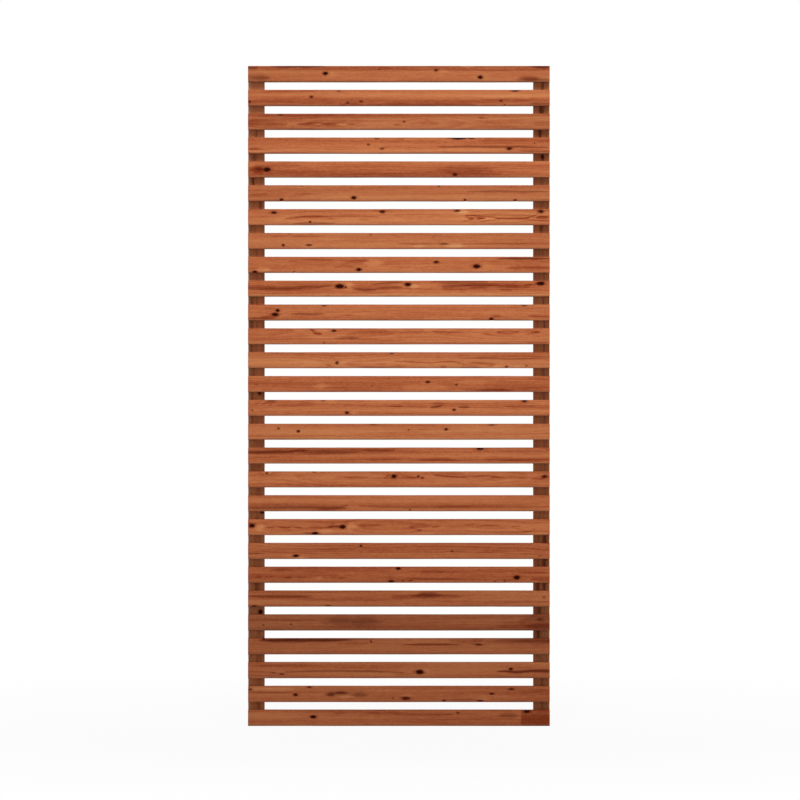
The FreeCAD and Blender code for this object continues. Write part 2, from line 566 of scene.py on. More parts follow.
for side, seed in BATTEN_SEEDS.items():
    name = f"{side}_batten"
    low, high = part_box(name)
    draw = np.random.default_rng(seed)
    size = (high.z - low.z, high.y - low.y, high.x - low.x)
    knots = [
        (panel_z(y) - low.z, panel_x(x) - low.x, tall * PIXEL, wide * PIXEL, dark)
        for x, y, wide, tall, dark in BATTEN_KNOTS_PX[side]
    ]
    hidden_rows = draw.choice(len(crossing_z), HIDDEN_KNOTS, replace=False)
    for z in crossing_z[hidden_rows]:
        half = draw.uniform(*HIDDEN_KNOT_HALVES)
        place = draw.uniform(HIDDEN_KNOT_MARGIN, size[2] - HIDDEN_KNOT_MARGIN)
        dark = draw.uniform(HIDDEN_KNOT_FAINTEST, 1)
        knots.append((z, place, half * HIDDEN_KNOT_STRETCH, half, dark))
    knots = np.array(knots)
    crown_places = (crossing_z[:, None] + STAPLE_HOLLOW_STATIONS).ravel()
    crowded = np.concatenate([crown_places, knot_places(knots, BATTEN_KNOT_STATIONS)])
    points, outward, quads, corners = board(size, BATTEN_EASE, BATTEN_STEPS, crowded, BATTEN_MAP_LENGTHS)
    along = points[:, 0]
    across = points[:, 2]
    reach, nearest = nearest_knot(points, knots)
    streak = np.zeros(len(points))
    for x, top, foot, half, dark in BATTEN_CRACKS_PX[side]:
        line = panel_x(x) - low.x + wander(draw, along, *CRACK_WAVES)
        half_width = half * PIXEL * CRACK_WIDENING
        crack = stroke(along, across, panel_z(foot), panel_z(top), line, half_width, CRACK_FADE)
        streak = np.maximum(streak, dark * crack)
    pith_height = draw.uniform(0, BATTEN_PITH_HEIGHT)
    pith = (BATTEN_PITH_PLACE, BATTEN_PITH_DEPTH, pith_height, *BATTEN_PITH_LEANS)
    layers = {
        "rings": growth_rings(points, draw, pith, BATTEN_RING_WIDTH, knots),
        # Painted light: the batten is paler towards its top, where the lamp reaches into the top gaps.
        "bands": -BATTEN_TOP_LIGHT_SHARE * np.clip((along - BATTEN_TOP_LIGHT_START) / BATTEN_TOP_LIGHT_FADE, 0, 1),
        "knot": reach,
        "knot_mark": knots[nearest, 4],
        "streak": streak,
        "painted_underside_shade": np.zeros(len(points)),
        "end_grain": np.abs(outward[:, 0]),
        "tone_and_shade": np.full(len(points), BATTEN_TONE_SHARES[side]),
    }
    turn = STAPLE_TURNS[side]
    from_crown = along[:, None] - crossing_z
    row = np.abs(from_crown).argmin(axis=1)
    up = from_crown[np.arange(len(points)), row]
    beside = across - size[2] / 2
    crown_way = (beside * math.cos(turn) - up * math.sin(turn)) / STAPLE_HOLLOW[0]
    cross_way = (beside * math.sin(turn) + up * math.cos(turn)) / STAPLE_HOLLOW[1]
    hollow = np.exp(-((crown_way**2 + cross_way**2) ** 2)) * STAPLE_HOLLOW_DEPTH
    hollow *= outward[:, 1] > SQUARELY
    sawn = SAW_DEPTH * (1 + np.sin(along / SAW_STEP + SAW_BOW * np.sin(across / SAW_BOW_WIDTH)))
    dish = BATTEN_DISH_DEPTH * layers["knot_mark"] * np.exp(-(reach**2))
    points = points - outward * (hollow + sawn + dish)[:, None]
    placed = np.stack([low.x + points[:, 2], low.y + points[:, 1], low.z + points[:, 0]], axis=1)
    batten = piece(f"{name}_board", placed, quads[:, ::-1], batten_wood, layers, corners[:, ::-1])
    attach(batten, "root")
    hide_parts(name)


# Slats: 28 planed softwood boards with rounded edges in the same stain, laid flat across the
# battens with even gaps. Knots, resin streaks and the run of the rings differ from board to board,
# and the lower boards are darker: partly their own tone, partly painted shade where the lamp's
# light falls off towards the foot.

# Eases, grid steps, places at a knot and lengths in the bake map, as for the battens.
SLAT_EASE = (0.0007, 0.0014, 0.0014)
SLAT_STEPS = (0.0045, 0.0030, 0.0016)
SLAT_KNOT_STATIONS = 11
SLAT_MAP_LENGTHS = 2

# Knots that show on the slats' fronts: middle x and y, half length and half height in pixels of
# the photograph, and darkness. Small ones keep a share of it, which grows with each square pixel.
SLAT_KNOTS_PX = {
    1: [(325.4, 73.4, 2.4, 1.7, 1.0), (436.2, 70.2, 1.6, 1.2, 0.9), (480.3, 77.3, 2.3, 1.7, 1.0),
        (379.3, 69.4, 1.6, 0.8, 0.4)],
    2: [(311.4, 96.9, 1.7, 1.2, 0.85), (347.7, 102.7, 1.4, 1.0, 0.8), (361.1, 101.5, 1.7, 1.0, 0.8),
        (501.0, 101.0, 1.4, 1.0, 0.8), (504.6, 104.7, 0.8, 0.6, 0.8), (338.8, 90.9, 2.0, 1.1, 0.4),
        (515.3, 90.7, 3.6, 1.1, 0.7), (249.7, 101.8, 1.2, 1.2, 0.9)],
    3: [(404.1, 121.5, 1.2, 1.0, 0.8), (280.8, 114.7, 2.2, 1.1, 0.5), (481.6, 117.7, 2.2, 0.8, 0.3)],
    4: [(368.3, 144.5, 1.4, 0.9, 0.8), (382.1, 148.7, 2.0, 1.0, 0.7), (509.2, 148.7, 2.7, 1.4, 0.9),
        (534.5, 143.4, 0.9, 0.6, 0.5), (458.7, 137.9, 6.6, 1.6, 1.0), (471.4, 138.0, 2.8, 1.1, 0.75),
        (376.7, 138.4, 2.0, 1.1, 0.5)],
    5: [(267.0, 169.6, 3.4, 2.2, 1.0), (455.1, 174.5, 2.2, 1.5, 0.9), (258.9, 169.1, 3.0, 1.8, 0.45)],
    6: [(281.5, 199.7, 1.7, 1.3, 1.0), (353.8, 197.7, 2.4, 1.6, 1.0), (465.0, 200.0, 1.2, 1.1, 1.0),
        (515.3, 200.2, 1.5, 0.9, 1.0), (438.8, 185.9, 1.2, 1.0, 0.65), (302.0, 185.8, 1.2, 0.8, 0.45)],
    7: [(273.9, 212.6, 2.8, 1.3, 0.9), (382.4, 211.7, 2.5, 1.5, 0.9), (310.1, 222.0, 1.2, 1.0, 0.9),
        (457.0, 210.8, 2.6, 1.1, 0.8), (540.8, 211.4, 2.6, 1.6, 0.9)],
    8: [(283.2, 245.2, 1.4, 1.2, 0.95), (308.9, 245.1, 2.6, 1.0, 0.8), (370.8, 234.7, 0.9, 0.6, 0.7),
        (443.9, 243.9, 4.0, 0.8, 0.6), (289.5, 233.6, 1.4, 0.7, 0.5)],
    9: [(254.9, 271.8, 2.2, 1.2, 1.0), (294.3, 272.0, 1.0, 0.7, 0.8), (358.8, 269.5, 2.4, 1.5, 1.0),
        (436.2, 262.1, 2.4, 1.3, 0.9), (476.5, 266.4, 3.3, 2.0, 1.0)],
    10: [(339.5, 286.3, 4.1, 2.1, 1.0), (345.7, 287.2, 1.2, 0.9, 0.9), (407.9, 284.6, 2.8, 1.7, 1.0),
         (540.7, 283.5, 3.8, 2.0, 1.0)],
    11: [(277.7, 310.5, 1.9, 1.5, 1.0), (275.1, 314.5, 3.0, 1.7, 1.0), (491.5, 319.1, 2.0, 1.3, 1.0),
         (324.2, 305.3, 2.0, 1.2, 0.6), (524.5, 305.3, 2.2, 1.2, 0.55)],
    12: [(333.9, 330.8, 2.2, 1.1, 0.9), (324.2, 342.9, 0.9, 0.6, 0.8), (313.0, 330.6, 2.0, 0.6, 0.35)],
    13: [(337.0, 362.8, 1.4, 1.4, 0.9), (506.6, 366.8, 1.3, 1.0, 0.9), (526.5, 365.8, 1.0, 0.9, 0.5),
         (392.0, 353.0, 1.8, 1.1, 0.65)],
    14: [(427.8, 382.0, 2.0, 1.3, 0.9), (456.4, 384.8, 1.2, 1.0, 0.8), (256.6, 384.6, 1.4, 0.8, 0.3),
         (372.5, 385.9, 1.2, 0.7, 0.3), (388.6, 378.8, 1.2, 0.7, 0.3)],
    15: [(347.1, 412.7, 1.9, 1.3, 0.95), (454.1, 409.8, 1.5, 1.1, 0.95), (252.2, 410.3, 0.9, 0.7, 0.8),
         (271.6, 400.8, 3.8, 1.0, 0.5), (323.0, 400.7, 1.6, 0.9, 0.5), (524.5, 401.0, 2.3, 1.2, 0.9)],
    16: [(278.4, 428.4, 1.3, 1.1, 0.7), (298.3, 431.3, 1.5, 1.2, 1.0), (446.1, 429.3, 1.5, 1.2, 1.0),
         (408.6, 429.8, 0.8, 0.7, 0.8), (373.2, 424.5, 3.2, 0.7, 0.45), (492.2, 425.0, 3.0, 0.8, 0.55)],
    17: [(480.0, 448.5, 3.0, 1.4, 1.0), (303.0, 451.2, 1.0, 0.6, 0.6)],
    18: [(266.7, 473.3, 1.1, 1.1, 0.9), (393.9, 476.4, 2.3, 1.8, 1.0), (418.3, 476.4, 1.2, 1.0, 0.9),
         (422.4, 477.8, 1.2, 0.9, 0.8), (544.6, 476.5, 2.4, 1.4, 0.9), (314.3, 472.2, 1.6, 0.7, 0.5)],
    19: [(410.0, 509.8, 1.0, 0.7, 0.9)],
    20: [(252.0, 525.7, 2.8, 1.8, 1.0), (342.6, 526.8, 3.0, 1.8, 1.0), (315.2, 533.4, 2.9, 1.4, 1.0),
         (419.6, 530.6, 1.8, 0.9, 0.4)],
    21: [(295.9, 555.8, 2.9, 1.2, 1.0), (360.9, 545.8, 1.1, 1.1, 1.0), (452.0, 551.3, 1.2, 0.8, 0.8),
         (540.0, 555.8, 1.2, 0.8, 0.4)],
    22: [(398.3, 568.5, 2.2, 1.3, 1.0), (391.3, 581.3, 2.8, 1.0, 1.0), (516.8, 577.5, 3.1, 2.0, 1.0),
         (403.1, 580.7, 1.0, 0.6, 0.8), (410.6, 580.6, 2.0, 0.6, 0.7), (495.0, 581.4, 1.0, 0.6, 0.8),
         (504.6, 581.3, 1.0, 0.6, 0.8)],
    23: [(328.3, 605.6, 2.6, 0.8, 0.55), (544.1, 597.4, 1.3, 1.0, 0.5), (254.3, 606.1, 2.6, 0.8, 0.9)],
    24: [(291.0, 624.4, 1.0, 0.8, 0.8), (263.3, 625.1, 1.0, 0.8, 0.7), (539.6, 619.4, 2.6, 1.5, 0.4)],
    25: [(263.7, 638.9, 1.2, 1.0, 1.0), (371.1, 641.7, 1.0, 1.3, 0.7), (478.7, 644.7, 2.6, 0.9, 0.8)],
    26: [(281.8, 674.1, 2.2, 1.0, 0.6), (419.7, 672.0, 3.9, 2.1, 1.0), (510.9, 669.0, 1.8, 1.2, 1.0),
         (273.2, 672.8, 1.8, 0.7, 0.4)],
    27: [(295.6, 694.8, 1.9, 1.3, 1.0), (330.8, 694.4, 3.2, 1.6, 0.4), (340.6, 692.8, 5.0, 1.2, 0.4),
         (359.4, 694.8, 4.4, 1.4, 0.2), (405.8, 698.4, 4.0, 1.6, 0.85), (444.1, 700.6, 1.8, 1.0, 0.9),
         (480.1, 700.9, 3.2, 0.9, 0.9), (491.8, 693.7, 2.2, 1.1, 0.9), (511.4, 689.1, 3.0, 1.0, 0.8),
         (309.4, 687.0, 2.2, 0.9, 0.85), (250.2, 689.4, 1.8, 1.0, 0.8), (393.0, 698.0, 1.0, 0.7, 0.8)],
    28: [(313.3, 716.9, 2.8, 1.5, 1.0), (457.7, 712.7, 1.5, 0.9, 0.8), (526.8, 711.6, 3.0, 1.5, 1.0)],
}
SMALL_KNOT_SHARE = 0.72
KNOT_PIXEL_SHARE = 0.1

# Dark streaks and smudges of the slats' fronts: first and last x, y, half height in pixels of the
# photograph, and darkness.
SLAT_STREAKS_PX = {
    1: [(254, 266, 77.8, 1.6, 0.28), (524, 538, 79.6, 1.4, 0.45), (244, 257, 67.9, 1.2, 0.12),
        (248, 550, 69.7, 0.7, 0.25), (274, 322, 66.4, 1.0, 0.85), (533, 549, 66.5, 1.0, 0.8)],
    2: [(248, 550, 101.0, 3.0, 0.14), (532, 556, 103.4, 1.5, 0.4)],
    3: [(248, 550, 116.0, 1.2, 0.08), (296, 352, 124.0, 1.0, 0.08)],
    4: [(249, 259, 148.7, 0.8, 0.6), (520, 549, 150.5, 1.8, 0.05)],
    5: [(444, 490, 170.0, 3.2, 0.08), (248, 550, 175.0, 2.0, 0.15), (253, 263, 169.1, 2.8, 0.35)],
    6: [(470, 547, 191.5, 0.8, 0.5), (248, 350, 190.5, 0.6, 0.1)],
    7: [(296, 334, 223.6, 1.0, 0.4), (466, 536, 215.2, 0.7, 0.2), (535, 547, 217.6, 1.0, 0.2)],
    8: [(400, 438, 243.9, 0.7, 0.4), (464, 533, 243.6, 0.5, 0.3), (320, 400, 241.0, 0.5, 0.1)],
    9: [(500, 549, 258.6, 1.0, 0.75), (280, 330, 262.5, 0.8, 0.1)],
    10: [(248, 550, 294.4, 1.2, 0.05)],
    11: [(293, 322, 313.9, 0.9, 0.5), (248, 274, 318.2, 0.8, 0.55), (265, 272, 308.6, 0.5, 0.3),
         (345, 351, 314.8, 0.5, 0.3)],
    12: [(337, 357, 338.2, 1.1, 0.45), (440, 545, 332.0, 0.7, 0.1)],
    13: [(362, 402, 367.1, 0.9, 0.22), (448, 496, 363.0, 1.5, 0.1), (461, 549, 358.4, 0.6, 0.45)],
    14: [(478, 511, 390.1, 1.0, 0.5)],
    15: [(389, 402, 406.2, 0.8, 0.35)],
    16: [(248, 400, 436.5, 0.8, 0.1)],
    17: [(244, 291, 452.2, 1.1, 0.65), (289, 308, 451.0, 1.0, 0.55), (300, 356, 452.6, 1.4, 0.3),
         (366, 393, 450.0, 1.0, 0.25), (396, 410, 450.8, 1.0, 0.05), (500, 549, 451.0, 0.6, 0.35)],
    18: [(438, 504, 476.4, 0.7, 0.2), (375, 390, 478.0, 1.2, 0.15)],
    19: [(472, 545, 507.0, 1.0, 0.1)],
    20: [(305, 313, 533.4, 1.0, 0.5), (329, 341, 526.6, 1.0, 0.35), (450, 549, 531.5, 0.8, 0.08)],
    21: [(240, 262, 553.3, 0.8, 0.4), (297, 420, 551.0, 0.8, 0.08), (480, 505, 552.0, 0.5, 0.3)],
    22: [(408, 464, 578.7, 0.6, 0.4), (412, 456, 571.6, 0.6, 0.2), (275, 288, 569.8, 0.7, 0.25),
         (502, 512, 579.8, 0.8, 0.35)],
    23: [(249, 309, 596.1, 1.2, 0.45), (420, 434, 595.6, 1.8, 0.3), (396, 417, 596.0, 0.9, 0.15),
         (438, 458, 596.2, 0.7, 0.3)],
    24: [(248, 550, 628.0, 1.6, 0.12), (538, 546, 619.4, 1.3, 0.3)],
    25: [(262, 372, 639.0, 0.8, 0.5), (268, 348, 639.9, 1.4, 0.95), (262, 312, 640.9, 1.1, 0.75),
         (406, 458, 644.7, 0.8, 0.65), (473, 484, 644.7, 0.9, 0.35)],
    26: [(248, 550, 676.5, 1.0, 0.1)],
    27: [(249, 291, 692.6, 0.7, 0.35), (450, 475, 699.4, 0.9, 0.3)],
    28: [(501, 517, 715.4, 2.2, 0.35)],
}

# Broad bands and patches of the slats' fronts, redder where the share is above zero and paler where
# it is below: first and last x, y, half height in pixels of the photograph, and share.
SLAT_BANDS_PX = {
    1: [(248, 550, 67.6, 1.8, 0.3), (326, 336, 75.4, 2.2, -0.3), (464, 472, 66.6, 1.2, -0.4),
        (474, 488, 77.5, 4.0, -0.2), (440, 446, 71.5, 1.6, -0.4)],
    2: [(248, 550, 94.8, 2.6, -0.3), (248, 550, 101.0, 2.6, 0.3), (265, 314, 91.4, 1.0, 0.25),
        (485, 534, 99.4, 0.8, 0.35), (510, 518, 94.0, 2.0, -0.1)],
    3: [(248, 550, 115.2, 1.5, 0.38), (240, 360, 121.0, 7.0, 0.3)],
    4: [(248, 550, 140.0, 2.0, 0.2), (248, 440, 151.0, 2.0, -0.35), (440, 520, 150.0, 1.6, -0.3),
        (520, 549, 150.0, 2.0, 0.15)],
    5: [(248, 550, 169.0, 14.0, 0.19), (248, 550, 164.0, 2.2, -0.15), (248, 550, 173.5, 3.4, 0.3),
        (440, 492, 169.5, 4.0, 0.15), (252, 264, 169.2, 3.6, 0.4)],
    6: [(350, 550, 187.8, 1.8, 0.25), (296, 312, 194.3, 0.9, 0.45), (252, 269, 194.4, 0.9, 0.35),
        (248, 550, 198.4, 2.4, -0.28), (248, 350, 188.0, 3.0, -0.15)],
    7: [(248, 550, 217.0, 14.0, -0.18), (396, 453, 214.8, 0.9, 0.4), (248, 550, 220.5, 2.6, -0.12),
        (248, 550, 210.6, 0.9, 0.15), (459, 468, 212.2, 1.6, -0.6), (256, 269, 216.7, 0.7, 0.2)],
    8: [(271, 283, 236.3, 0.8, 0.2), (293, 322, 235.8, 0.9, 0.25), (424, 478, 237.5, 0.8, 0.2),
        (396, 550, 246.2, 1.4, -0.15), (414, 424, 245.9, 1.3, -0.4), (448, 463, 245.9, 1.5, -0.55),
        (248, 550, 240.5, 3.0, -0.1), (321, 341, 238.4, 2.4, -0.2), (303, 318, 246.6, 1.6, -0.25)],
    9: [(396, 412, 267.6, 1.2, 0.3), (507, 549, 268.0, 1.8, 0.45), (366, 381, 262.4, 2.6, -0.5),
        (482, 492, 264.6, 3.2, -0.12), (257, 269, 270.0, 2.0, -0.55), (466, 474, 268.5, 2.2, -0.05),
        (336, 353, 266.8, 1.2, 0.35)],
    10: [(248, 550, 289.0, 14.0, 0.04), (248, 330, 290.4, 1.6, 0.2), (346, 352, 284.2, 1.6, -0.7),
         (346, 353, 289.4, 1.6, -0.35), (354, 400, 287.4, 2.6, 0.25), (440, 535, 285.0, 2.6, 0.3),
         (248, 550, 295.0, 1.2, -0.6), (411, 417, 286.6, 2.0, -0.6)],
    11: [(248, 550, 306.2, 1.2, -0.2), (396, 480, 314.4, 2.4, 0.2), (530, 549, 316.3, 1.3, 0.5),
         (280, 292, 312.0, 3.4, -0.1), (296, 345, 316.8, 1.4, 0.15), (493, 500, 316.1, 1.1, 0.5)],
    12: [(355, 380, 332.3, 1.4, 0.25), (378, 402, 340.6, 0.9, 0.4), (310, 345, 335.0, 3.0, -0.25),
         (396, 460, 332.0, 1.2, 0.25), (528, 549, 342.0, 0.8, 0.4), (470, 484, 333.0, 2.0, -0.3),
         (499, 516, 332.1, 1.2, 0.2)],
    13: [(248, 550, 360.0, 14.0, -0.1), (248, 460, 355.6, 2.6, 0.12), (248, 340, 363.2, 3.0, -0.25),
         (340, 549, 362.4, 2.6, -0.22), (460, 549, 356.2, 1.8, 0.25), (362, 405, 367.0, 1.0, 0.1),
         (396, 404, 365.8, 1.2, 0.25), (377, 387, 364.0, 0.7, 0.45)],
    14: [(248, 550, 384.0, 14.0, 0.18), (316, 325, 386.5, 2.2, -0.5), (404, 444, 387.0, 3.2, -0.25),
         (462, 486, 382.6, 2.6, -0.25), (424, 434, 382.0, 3.2, -0.05)],
    15: [(278, 299, 405.0, 1.4, 0.2), (299, 311, 403.8, 1.2, 0.35), (330, 400, 402.6, 1.2, -0.25),
         (396, 425, 407.0, 0.8, 0.25), (508, 533, 406.3, 1.2, 0.25), (470, 549, 408.0, 0.9, 0.15),
         (248, 550, 411.0, 3.0, -0.2), (351, 356, 412.0, 1.4, -0.4), (434, 443, 403.4, 1.6, 0.3),
         (518, 526, 403.2, 1.0, 0.25)],
    16: [(248, 550, 432.0, 14.0, -0.08), (248, 400, 431.0, 4.0, -0.15), (380, 420, 432.4, 0.9, 0.25),
         (440, 500, 432.6, 0.9, 0.2), (455, 549, 428.0, 3.0, -0.15)],
    17: [(248, 550, 455.0, 14.0, 0.18), (248, 400, 449.6, 2.0, 0.1), (400, 550, 449.6, 2.0, 0.05),
         (248, 550, 455.6, 1.6, -0.3), (420, 457, 459.9, 1.2, 0.5), (488, 549, 459.7, 1.4, 0.35),
         (366, 398, 459.3, 1.2, 0.25)],
    18: [(248, 330, 479.0, 4.0, -0.15), (272, 400, 484.6, 1.0, 0.2), (346, 367, 477.3, 1.0, 0.35),
         (402, 416, 477.0, 1.6, 0.35), (396, 550, 481.6, 2.4, -0.2)],
    19: [(248, 550, 499.4, 3.0, -0.25), (240, 346, 507.4, 2.6, 0.12), (440, 549, 507.0, 1.6, 0.25)],
    20: [(255, 263, 526.8, 3.0, -0.7), (320, 332, 530.6, 2.0, -0.45), (347, 354, 527.0, 3.0, -0.8),
         (356, 384, 525.1, 0.8, 0.4), (411, 440, 526.4, 1.0, 0.2), (446, 462, 526.2, 1.0, 0.25),
         (420, 432, 534.0, 1.0, -0.3)],
    21: [(248, 550, 551.0, 14.0, -0.05), (420, 550, 547.6, 3.4, 0.1), (297, 304, 557.6, 1.2, -0.6),
         (287, 293, 555.4, 1.2, -0.4)],
    22: [(248, 550, 575.0, 14.0, 0.34), (272, 300, 570.2, 0.9, 0.2), (305, 318, 571.3, 0.8, 0.2),
         (317, 323, 578.0, 1.2, -0.3), (390, 420, 572.0, 4.0, -0.2), (340, 392, 574.0, 3.0, -0.15),
         (522, 549, 573.0, 0.8, 0.25)],
    23: [(248, 312, 597.2, 1.2, 0.4), (300, 400, 599.6, 0.9, 0.45), (414, 442, 595.4, 2.0, 0.25),
         (440, 550, 592.8, 1.6, -0.15), (248, 260, 603.0, 1.6, -0.25), (440, 549, 602.0, 1.2, 0.25)],
    24: [(330, 374, 621.6, 4.4, 0.1), (248, 312, 619.6, 1.0, 0.3), (500, 556, 626.6, 2.2, 0.2),
         (248, 330, 625.0, 3.0, -0.15), (522, 560, 622.0, 8.0, 0.25)],
    25: [(248, 550, 645.0, 14.0, -0.08), (256, 300, 640.0, 1.0, 0.3), (474, 650, 640.4, 4.2, 0.12),
         (492, 650, 640.4, 4.2, 0.12), (510, 650, 640.4, 4.2, 0.12), (248, 550, 649.0, 3.6, -0.15),
         (405, 450, 642.2, 1.2, -0.25)],
    26: [(248, 550, 669.0, 14.0, -0.1), (252, 318, 665.4, 0.8, 0.3), (400, 500, 668.0, 4.0, -0.15),
         (396, 410, 673.4, 1.0, 0.4), (423, 427, 670.6, 1.4, -0.5)],
    27: [(341, 351, 696.4, 1.2, -0.5), (248, 292, 689.0, 1.8, -0.4), (370, 396, 690.4, 1.4, -0.2),
         (404, 414, 695.6, 1.2, -0.35), (480, 488, 698.6, 1.6, -0.4)],
    28: [(248, 300, 716.0, 4.0, -0.2), (336, 345, 713.0, 1.0, 0.4), (366, 402, 712.8, 1.4, 0.4),
         (396, 450, 714.4, 2.2, 0.2), (440, 512, 721.0, 1.4, -0.15), (517, 521, 717.0, 4.0, -0.15),
         (248, 550, 724.2, 1.2, -0.12)],
}

